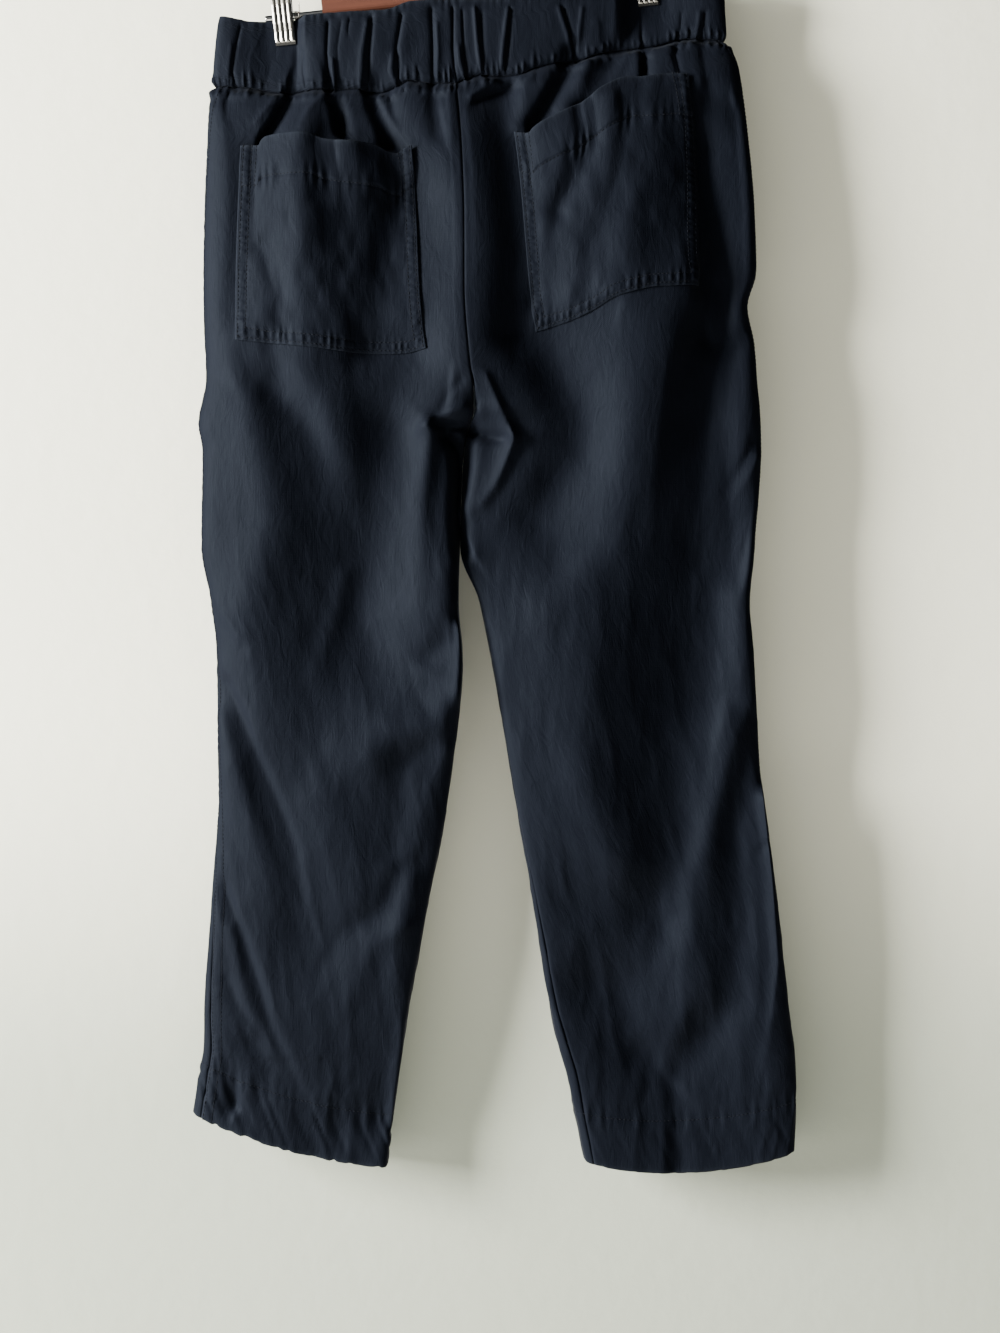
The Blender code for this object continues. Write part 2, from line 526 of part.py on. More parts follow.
def build_cloth(collection):
    """The four panels, the waistband and the two pockets."""
    material = finish("cloth", CLOTH, 0.9, 0.0)
    panel_rows = rows()[:, None]
    band_rows = np.array(BAND_ROWS)[:, None]
    pieces = [(side, face) for side in ("left", "right") for face in ("back", "front")]
    panels = {piece: cloth(*piece, columns(*piece), panel_rows) for piece in pieces}
    bands = {piece: cloth(*piece, columns(*piece), band_rows) for piece in pieces}
    outwards = [1.0 if piece in (("left", "back"), ("right", "front")) else -1.0 for piece in pieces]
    normals = shared_normals([panels[p] for p in pieces] + [bands[p] for p in pieces], outwards * 2)

    wall = PANEL_WALL + (HEM_WALL - PANEL_WALL) * np.clip(
        (panel_rows - HEM_ROW) / HEM_STEP + 1.0, 0.0, 1.0)[..., None]
    crotch = np.abs(panel_rows[:, 0] - CROTCH_ROW).argmin()
    for piece, normal in zip(pieces, normals):
        side, face = piece
        normal[crotch, 0] = (0.0, 0.0, -1.0)
        outer = seam_allowance(panels[piece], ("inner", "outer", "top"))
        add_wall(face + "_" + side, outer, outer - wall * normal, material, collection)
        if face == "back":
            add_pocket(side, panels[piece], normal, panel_rows[:, 0], material, collection)

    order = ((("left", "back"), -1), (("right", "back"), 1),
             (("right", "front"), -1), (("left", "front"), 1))
    band_normals = dict(zip(pieces, normals[len(pieces):]))
    outer = np.concatenate([seam_allowance(bands[p], ("foot",))[:, ::way][:, :-1] for p, way in order],
                           axis=1)
    normal = np.concatenate([band_normals[p][:, ::way][:, :-1] for p, way in order], axis=1)
    inner = outer - BAND_WALL * normal
    inner[-1, :, 2] += BAND_FOOT_BEVEL
    add_wall("waistband", outer, inner, material, collection, ring=True)


def add_pocket(side, panel, normal, panel_rows, material, collection):
    """A patch pocket made from the points of its panel, moved out, gaping at its mouth."""
    pocket = POCKETS[side]
    first, last = pocket.inner_column + 1, pocket.outer_column + 1
    inside = (panel_rows >= POCKET_TOP_ROW - 1e-6) & (panel_rows <= POCKET_BOTTOM_ROW + 1e-6)
    under = panel[inside][:, first:last + 1]
    out = normal[inside][:, first:last + 1]
    across = np.linspace(0.0, 1.0, last + 1 - first)
    down = np.linspace(0.0, 1.0, inside.sum())[:, None]
    belly = np.sin(np.pi * across) ** BELLY_POWER * np.ones_like(down)
    gape = pocket.gape * belly * (1.0 - down) ** 2
    crown = pocket.crown * belly * np.sin(np.pi * np.minimum(down * CROWN_REACH, 1.0))
    inner = under + out * (POCKET_GAP + gape + crown)[..., None]
    inner[..., 2] += pocket.rise * belly * (1.0 - down) ** 3
    add_wall("pocket_" + side, inner + out * POCKET_WALL, inner, material, collection)


def add_prism(name, outline, start, end, material, collection):
    """A flat outline in the YZ plane, made solid from x = start to x = end."""
    bm = bmesh.new()
    near = [bm.verts.new((start, y, z)) for y, z in outline]
    far = [bm.verts.new((end, y, z)) for y, z in outline]
    bm.faces.new(near)
    bm.faces.new(far[::-1])
    for a in range(len(outline)):
        b = (a + 1) % len(outline)
        bm.faces.new((near[b], near[a], far[a], far[b]))
    bmesh.ops.recalc_face_normals(bm, faces=bm.faces)
    return add_object(name, bm, material, collection)


def add_rod(name, start, end, diameter, material, collection):
    """A round rod along X, centred on the rod's own line."""
    bm = bmesh.new()
    bmesh.ops.create_cone(bm, cap_ends=True, segments=16, radius1=diameter / 2.0,
                          radius2=diameter / 2.0, depth=abs(end - start))
    item = add_object(name, bm, material, collection)
    item.rotation_euler = (0.0, math.pi / 2.0, 0.0)
    item.location = ((start + end) / 2.0, 0.0, -HOOK_TO_ROD)
    return item


def add_wire(name, route, diameter, material, collection):
    """A bent wire along a list of places."""
    curve = bpy.data.curves.new(name, "CURVE")
    curve.dimensions = "3D"
    curve.bevel_depth = diameter / 2.0
    curve.bevel_resolution = 2
    curve.use_fill_caps = True
    spline = curve.splines.new("POLY")
    spline.points.add(len(route) - 1)
    for point, place in zip(spline.points, route):
        point.co = (*place, 1.0)
    curve.materials.append(material)
    item = bpy.data.objects.new(name, curve)
    collection.objects.link(item)
    return item


def cut_or_join(target, other, operation):
    modifier = target.modifiers.new(operation.lower(), "BOOLEAN")
    modifier.operation = operation
    modifier.object = other
    modifier.solver = "EXACT"


def hide_as_cutter(item):
    item.hide_render = True
    item.display_type = "WIRE"


def build_bar(hanger, material, collection, cutters):
    """The wooden bar, its long edges rounded, with a hole for a rod in each end."""
    bm = bmesh.new()
    bmesh.ops.create_cube(bm, size=1.0)
    for vertex in bm.verts:
        vertex.co.x *= BAR_LENGTH
        vertex.co.y *= BAR_DEPTH
        vertex.co.z *= BAR_HEIGHT
    long_edges = [edge for edge in bm.edges
                  if abs(edge.verts[0].co.x - edge.verts[1].co.x) > BAR_LENGTH / 2.0]
    bmesh.ops.bevel(bm, geom=long_edges, offset=BAR_ROUNDING, segments=4, profile=0.5,
                    affect="EDGES")
    bar = add_object("hanger_bar", bm, material, collection)
    bar.location = (0.0, 0.0, BAR_HEIGHT / 2.0 - BAR_BELOW_ROD - HOOK_TO_ROD)
    bar.parent = hanger
    for way in (-1, 1):
        end = way * BAR_LENGTH / 2.0
        hole = add_rod("rod_hole", end - way * ROD_IN_BAR, end + way * ROD_IN_BAR, ROD_HOLE,
                       material, cutters)
        hole.parent = hanger
        hide_as_cutter(hole)
        cut_or_join(bar, hole, "DIFFERENCE")


def jaw_mesh(facing):
    """A pressed jaw: a ribbed strip bent from its finger grip, past the rod, to its flat mouth."""
    steps = 3 * JAW_RIBS + 1
    across = np.linspace(-0.5, 0.5, steps) * JAW_WIDTH
    raised = np.array([0.0 if step % 3 == 0 else 1.0 for step in range(steps)])
    bm = bmesh.new()
    sections = []
    for bend in JAW_BENDS:
        section = [bm.verts.new((x, facing * (bend.y + JAW_SHEET + JAW_RIB * rib * bend.rib), bend.z))
                   for x, rib in zip(across, raised)]
        section += [bm.verts.new((way * JAW_WIDTH / 2.0, facing * bend.y, bend.z)) for way in (1, -1)]
        sections.append(section)
    for upper, lower in zip(sections, sections[1:]):
        for a in range(len(upper)):
            b = (a + 1) % len(upper)
            bm.faces.new((upper[a], upper[b], lower[b], lower[a]))
    bm.faces.new(sections[0][::-1])
    bm.faces.new(sections[-1])
    bmesh.ops.recalc_face_normals(bm, faces=bm.faces)
    return bm


def build_clip(side, place, hanger, material, collection, cutters):
    """One clip on the rod: two jaws with ears that sit on the rod, and the spring beside them."""
    for jaw, facing in (("back", -1.0), ("front", 1.0)):
        name = "clip_" + side + "_" + jaw
        item = add_object(name, jaw_mesh(facing), material, collection)
        item.location = (place, 0.0, -HOOK_TO_ROD)
        item.parent = hanger
        outline = [(facing * corner.y, corner.z) for corner in EAR_OUTLINE]
        for way in (-1, 1):
            plate = add_prism(name + "_ear", outline, way * EAR_PLACES[jaw],
                              way * (EAR_PLACES[jaw] + EAR_SHEET), material, cutters)
            plate.location = item.location
            plate.parent = hanger
            hide_as_cutter(plate)
            cut_or_join(item, plate, "UNION")
        hole = add_rod(name + "_hole", place - JAW_WIDTH, place + JAW_WIDTH, ROD_HOLE, material, cutters)
        hole.parent = hanger
        hide_as_cutter(hole)
        cut_or_join(item, hole, "DIFFERENCE")

    start = place + JAW_WIDTH / 2.0 + SPRING_BESIDE_JAW
    coil = []
    for step in range(SPRING_TURNS * SPRING_STEPS + 1):
        turns = step / SPRING_STEPS
        coil.append((start + turns * SPRING_PITCH, SPRING_RADIUS * math.cos(turns * math.tau),
                     SPRING_RADIUS * math.sin(turns * math.tau) - HOOK_TO_ROD))
    end = coil[-1]
    coil += [(end[0], end[1] + corner.y, end[2] + corner.z) for corner in SPRING_TAIL]
    add_wire("clip_" + side + "_spring", coil, SPRING_WIRE, material, collection).parent = hanger


def build_hook(hanger, material, collection):
    """The wire hook: a stem out of the bar's top, a swan neck and a round hook."""
    radius = HOOK_INNER_RADIUS + HOOK_WIRE / 2.0
    foot = BAR_HEIGHT - BAR_BELOW_ROD - HOOK_TO_ROD + SEAM_GAP
    route = [(bow.x, 0.0, foot + bow.rise) for bow in HOOK_NECK]
    for step in range(HOOK_STEPS + 1):
        angle = HOOK_FROM + (HOOK_TO - HOOK_FROM) * step / HOOK_STEPS
        route.append((radius * math.cos(angle), 0.0, radius * math.sin(angle) - HOOK_INNER_RADIUS))
    add_wire("hook", route, HOOK_WIRE, material, collection).parent = hanger


def build_hanger(collection, cutters):
    """The hanger, tilted about its hook."""
    wood = finish("stained_wood", WOOD, 0.45, 0.0)
    steel = finish("nickel", STEEL, 0.25, 1.0)
    hanger = bpy.data.objects.new("hanger", None)
    hanger.rotation_euler = (0.0, -TILT, 0.0)
    collection.objects.link(hanger)
    build_bar(hanger, wood, collection, cutters)
    for side, way in (("left", -1), ("right", 1)):
        inner_end = way * (BAR_LENGTH / 2.0 - ROD_IN_BAR + SEAM_GAP)
        rod = add_rod("rod_" + side, inner_end, way * ROD_END, ROD_DIAMETER, steel, collection)
        rod.parent = hanger
        build_clip(side, way * CLIP_PLACE, hanger, steel, collection, cutters)
    build_hook(hanger, steel, collection)


def main():
    for item in list(bpy.data.objects):
        bpy.data.objects.remove(item)
    collection = bpy.data.collections.new("capri_pants_on_hanger")
    cutters = bpy.data.collections.new("cutters")
    bpy.context.scene.collection.children.link(collection)
    bpy.context.scene.collection.children.link(cutters)
    build_cloth(collection)
    build_hanger(collection, cutters)


main()
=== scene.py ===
"""Cropped pull-on trousers, hung by their waistband from a wooden hanger with two clips.

Metres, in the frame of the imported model: the origin is the inner top of the hanger's hook, +Z is
up, the garment's back faces -Y and its left leg is at -X. On the garment a place is given as
across, from its middle line, and drop, below the level of the waist.
"""
import math
from collections import namedtuple

import bpy
import numpy as np
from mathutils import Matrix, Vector


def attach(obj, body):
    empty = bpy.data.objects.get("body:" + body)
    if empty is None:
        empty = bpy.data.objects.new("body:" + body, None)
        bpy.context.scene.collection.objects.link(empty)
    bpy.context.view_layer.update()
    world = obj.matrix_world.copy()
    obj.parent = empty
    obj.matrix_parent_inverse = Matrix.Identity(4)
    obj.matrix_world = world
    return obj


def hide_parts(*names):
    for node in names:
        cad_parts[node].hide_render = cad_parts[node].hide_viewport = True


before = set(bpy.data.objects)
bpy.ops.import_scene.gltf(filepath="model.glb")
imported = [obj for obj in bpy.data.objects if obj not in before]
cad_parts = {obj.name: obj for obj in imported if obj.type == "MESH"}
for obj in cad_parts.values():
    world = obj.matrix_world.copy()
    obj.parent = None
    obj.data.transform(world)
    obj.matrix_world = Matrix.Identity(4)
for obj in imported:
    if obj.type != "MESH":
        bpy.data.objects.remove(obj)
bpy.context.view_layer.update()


# The two back and two front panels: a soft dark twill of linen and lyocell, washed and a little
# creased. They are sewn down the middle, the sides and the insides of the legs, gathered into the
# waistband, and turned up once at the hems. Each is a thin closed shell on the form of its solid.
MIDDLE_X = 0.0113
WAIST_Z = -0.1066
PANEL_WALL = 0.0012
HEM_WALL = 0.0020
HEM_DEPTH = 0.038
CLIP_ACROSS = 0.13575
PINCHED = 0.00255
PINCH_REACH = 0.010
PINCH_FADE = {"left": 0.008, "right": 0.014}
PINCH_FADE_OUTSIDE = 0.050
PINCH_ROWS = (0.4, 1.6)
PINCH_FLATTENS = 0.85
INSET_TO = 0.40

Torso = namedtuple("Torso", "drop middle back front closed left_drop left_x left_sag"
                            " right_drop right_x right_sag")
TORSO = (
    Torso(0.0040, -0.0053, 0.0135, 0.0130, 0.00, 0.0135, -0.1832, 0.0, -0.0200, 0.1935, 0.0),
    Torso(0.0635, -0.0053, 0.0100, 0.0080, 0.00, 0.0650, -0.1879, 0.0, 0.0315, 0.1965, 0.0),
    Torso(0.0845, -0.0038, 0.0145, 0.0105, 0.00, 0.0840, -0.1913, 0.0, 0.0410, 0.2015, 0.0),
    Torso(0.1140, -0.0015, 0.0190, 0.0140, 0.00, 0.1100, -0.1924, 0.0, 0.0515, 0.2055, 0.0),
    Torso(0.1680, 0.0004, 0.0230, 0.0160, 0.00, 0.1600, -0.1943, 0.0, 0.1050, 0.2130, 0.0),
    Torso(0.2200, 0.0006, 0.0255, 0.0170, 0.00, 0.2080, -0.1950, 0.003, 0.1560, 0.2175, 0.0),
    Torso(0.2655, 0.0038, 0.0270, 0.0175, 0.00, 0.2540, -0.1943, 0.006, 0.2030, 0.2190, 0.0),
    Torso(0.2790, 0.0053, 0.0270, 0.0180, 0.00, 0.2700, -0.1933, 0.004, 0.2310, 0.2123, 0.0),
    Torso(0.2925, 0.0075, 0.0270, 0.0180, 0.14, 0.2860, -0.1930, 0.002, 0.2588, 0.2175, 0.0),
    Torso(0.3083, 0.0078, 0.0270, 0.0178, 1.00, 0.3040, -0.1965, 0.0, 0.2888, 0.2198, 0.0),
)
SEAM_ROW = 1
POCKET_TOP_ROW = 3
GATHERS_END_ROW = 4
POCKET_BOTTOM_ROW = 6
CROTCH_ROW = 9

Leg = namedtuple("Leg", "inner_drop outer_drop inner_x outer_x back front inset turn sag")
LEFT_LEG = (
    Leg(0.3220, 0.3188, 0.0041, -0.1988, 0.0265, 0.0170, 0.006, 0.00, 0.0),
    Leg(0.3450, 0.3413, -0.0001, -0.1958, 0.0260, 0.0170, 0.011, 0.00, 0.0),
    Leg(0.4088, 0.4088, -0.0023, -0.1969, 0.0250, 0.0165, 0.008, 0.00, 0.0),
    Leg(0.4510, 0.4510, -0.0030, -0.1895, 0.0240, 0.0160, 0.002, 0.00, 0.0),
    Leg(0.4950, 0.4950, 0.0006, -0.1852, 0.0235, 0.0155, 0.0, 0.00, 0.0),
    Leg(0.5850, 0.5850, -0.0090, -0.1845, 0.0215, 0.0145, 0.0, 0.02, 0.0),
    Leg(0.6750, 0.6750, -0.0255, -0.1898, 0.0195, 0.0140, 0.0, 0.08, 0.0),
    Leg(0.7650, 0.7600, -0.0420, -0.1958, 0.0180, 0.0130, 0.0, 0.13, 0.002),
    Leg(0.8060, 0.7850, -0.0476, -0.1962, 0.0170, 0.0125, 0.0, 0.14, 0.005),
    Leg(0.8400, 0.8030, -0.0525, -0.1988, 0.0160, 0.0120, 0.0, 0.14, 0.006),
    Leg(0.8725, 0.8325, -0.0570, -0.2033, 0.0160, 0.0120, 0.0, 0.14, 0.007),
)
RIGHT_LEG = (
    Leg(0.3220, 0.3080, 0.0025, 0.2218, 0.0265, 0.0170, 0.006, 0.00, 0.0),
    Leg(0.3450, 0.3390, -0.0017, 0.2228, 0.0260, 0.0170, 0.011, 0.00, 0.0),
    Leg(0.4088, 0.4088, -0.0039, 0.2183, 0.0250, 0.0165, 0.008, 0.00, 0.0),
    Leg(0.4510, 0.4510, 0.0106, 0.2146, 0.0240, 0.0160, 0.002, 0.00, 0.0),
    Leg(0.4950, 0.4950, 0.0195, 0.2175, 0.0235, 0.0155, 0.0, 0.00, 0.0),
    Leg(0.5850, 0.5850, 0.0350, 0.2230, 0.0215, 0.0145, 0.0, 0.02, 0.0),
    Leg(0.6750, 0.6750, 0.0510, 0.2348, 0.0195, 0.0140, 0.0, 0.08, 0.0),
    Leg(0.7650, 0.7650, 0.0653, 0.2453, 0.0180, 0.0130, 0.0, 0.13, 0.002),
    Leg(0.8025, 0.7990, 0.0758, 0.2490, 0.0170, 0.0125, 0.0, 0.14, 0.006),
    Leg(0.8340, 0.8290, 0.0825, 0.2498, 0.0160, 0.0120, 0.0, 0.14, 0.010),
    Leg(0.8680, 0.8615, 0.0893, 0.2483, 0.0160, 0.0120, 0.0, 0.14, 0.011),
)
FOOT_ROW = CROTCH_ROW + len(LEFT_LEG)
ROUND_FROM = 0.45
WELL_TURNED = 0.06
INNER_POWER = 6.5
OUTER_POWER = {"left": 3.0, "right": 4.0}

Waist = namedtuple("Waist", "share left_seam left_top right_seam right_top")
WAIST = (
    Waist(0.00, 0.0635, 0.0040, 0.0635, 0.0040),
    Waist(0.09, 0.0645, 0.0042, 0.0580, 0.0038),
    Waist(0.19, 0.0620, 0.0052, 0.0590, 0.0028),
    Waist(0.30, 0.0695, 0.0116, 0.0520, -0.0006),
    Waist(0.45, 0.0680, 0.0130, 0.0455, -0.0062),
    Waist(0.60, 0.0685, 0.0148, 0.0385, -0.0100),
    Waist(0.72, 0.0700, 0.0168, 0.0355, -0.0132),
    Waist(0.85, 0.0665, 0.0176, 0.0300, -0.0160),
    Waist(1.00, 0.0650, 0.0135, 0.0315, -0.0200),
)

# Folds, creases and gathers, in millimetres. Each follows its path, from across and drop to across
# and drop. Left and right are the widths of its flanks as one looks along the path, and its height
# changes from the start to the end. Troughs are negative.
Fold = namedtuple("Fold", "path left right height to_height")


def in_metres(folds):
    return [Fold(np.array(fold.path) / 1000.0, *(np.array(fold[1:]) / 1000.0)) for fold in folds]


GATHER_FOLDS = in_metres((
    # Creases of the waistband and the gathers under it, left half.
    Fold(((-167, 21), (-171, 39), (-173, 55), (-170, 70)), 1.6, 1.5, -2.4, -1.8),
    Fold(((-174, 36), (-176, 54), (-176, 66)), 2, 1, 1, 0.6),
    Fold(((-151, 23), (-155, 33), (-160, 44), (-160, 66)), 1, 2, 0.8, 0.4),
    Fold(((-143, 41), (-146, 55), (-149, 70)), 3, 4, -1.5, -1),
    Fold(((-124, 41), (-128, 58), (-131, 75), (-139, 91), (-149, 107)), 2, 11, -3, -8),
    Fold(((-128, 48), (-136, 67), (-145, 82), (-154, 95)), 3, 2, 1.5, 1),
    Fold(((-120, 41), (-120, 54), (-118, 67)), 1, 1.5, -1.5, -1.2),
    Fold(((-101, 20), (-102, 42), (-100, 69)), 1.4, 1.2, -2.2, -2),
    Fold(((-98, 48), (-97, 60), (-97, 70)), 1, 1.5, 1.5, 1.5),
    Fold(((-91, 20), (-94, 39), (-93, 63)), 2, 1.5, -0.8, -0.4),
    Fold(((-85, 18), (-86, 24), (-86, 30)), 1, 2, -1, -0.4),
    Fold(((-68, 17), (-70, 41), (-72, 69)), 1.8, 1.4, -2.5, -2.6),
    Fold(((-72, 21), (-76, 44), (-77, 66)), 2, 1, 1.2, 0.9),
    Fold(((-46, 15), (-50, 38), (-48, 60), (-45, 70)), 1.6, 1.4, -2.8, -2),
    Fold(((-53, 44), (-54, 55), (-51, 66)), 1.5, 1, 1.2, 0.9),
    Fold(((-35, 55), (-34, 63), (-32, 72)), 1.5, 1.5, -1.2, -1.2),
    Fold(((-24, 10), (-23, 36), (-23, 64)), 2, 2, -1.8, -1.8),
    Fold(((-20, 21), (-19, 39), (-20, 63)), 1, 2, 1, 1),
    Fold(((-8, 10), (-8, 39), (-6, 61)), 1, 1.2, -2.4, -2),
    Fold(((-4, 38), (-3, 49), (1, 63)), 1, 2, 1, 1),
    # Waistband and gathers, right half.
    Fold(((-1, 12), (0, 39), (3, 61)), 1, 2, -1.2, -1.6),
    Fold(((8, 10), (10, 35), (13, 57)), 1.5, 1.6, 1.5, 1.3),
    Fold(((13, 14), (14, 36), (16, 58)), 1, 1.6, -1.6, -1.2),
    Fold(((33, 11), (30, 32), (28, 54)), 1.6, 1, 1.5, 1.3),
    Fold(((35, 11), (34, 32), (31, 54)), 1.2, 1.3, -1.9, -1.6),
    Fold(((71, 10), (77, 27), (81, 45)), 1.6, 1, 1.5, 1.3),
    Fold(((74, 10), (80, 29), (85, 48)), 1.6, 1.6, -2, -2),
    Fold(((88, 10), (86, 27), (85, 42)), 1.2, 1.6, 1, 1),
    Fold(((100, 21), (101, 33), (102, 44)), 4, 2, 0.6, 0.5),
    Fold(((133, 12), (133, 27), (134, 42)), 1.2, 1.5, -3.2, -3.2),
    Fold(((163, 11), (162, 23), (158, 38)), 1.5, 2, -1.2, -2.4),
    Fold(((169, 24), (168, 32), (165, 39)), 2, 1.5, -1.2, -1.2),
    Fold(((176, 12), (175, 21), (173, 32)), 1.6, 1.2, 1.2, 0.8),
    Fold(((180, 12), (179, 23), (178, 33)), 1, 2, -1.6, -1.6),
    # Hollows between the gathers, sharp on the left, and the lobes between them.
    Fold(((-176, 72), (-177, 81), (-177, 91)), 3, 6, -2.5, -1),
    Fold(((-98, 73), (-94, 82), (-91, 92), (-89, 103)), 5, 20, -3.5, -8),
    Fold(((-102, 73), (-111, 79), (-117, 88), (-121, 98)), 1.6, 4, 1, 1.2),
    Fold(((-87, 78), (-83, 91), (-80, 104)), 5, 5, 1.5, 1.5),
    Fold(((-68, 70), (-65, 84), (-60, 95), (-54, 109)), 7, 15, -6, -6.5),
    Fold(((-63, 73), (-57, 86), (-50, 100), (-43, 112)), 2, 4, 2.2, 1.4),
    Fold(((-56, 72), (-54, 79), (-53, 89)), 2, 4, -2, -1),
    Fold(((-23, 69), (-22, 85), (-20, 103)), 5, 7, -2, -1.4),
    Fold(((-11, 73), (-9, 89), (-9, 110)), 4, 4, 0.8, 0.5),
    Fold(((37, 64), (28, 69), (20, 73), (11, 78)), 2, 9, -4, -2.5),
    Fold(((23, 62), (14, 69), (5, 75)), 3, 1.6, 2, 1.2),
    Fold(((45, 63), (43, 78), (40, 98)), 6, 6, 2, 1.5),
    Fold(((80, 42), (77, 52), (70, 67), (61, 84), (54, 95)), 6, 13, -5, -8),
    Fold(((89, 51), (82, 67), (71, 82)), 5, 6, 2, 1.5),
    Fold(((94, 48), (89, 60), (88, 76)), 5, 5, 1.5, 1),
    Fold(((116, 44), (111, 55), (104, 69), (98, 78)), 16, 12, -5, -4),
    Fold(((122, 42), (117, 52), (111, 63)), 5, 4, 1.5, 1),
    Fold(((134, 42), (134, 52), (134, 63)), 1.5, 5, -6, -6),
    Fold(((158, 38), (157, 45), (160, 58)), 1.2, 3, -2.5, -1.5),
    Fold(((177, 36), (179, 51), (181, 69)), 3, 8, -1.6, -1),
))
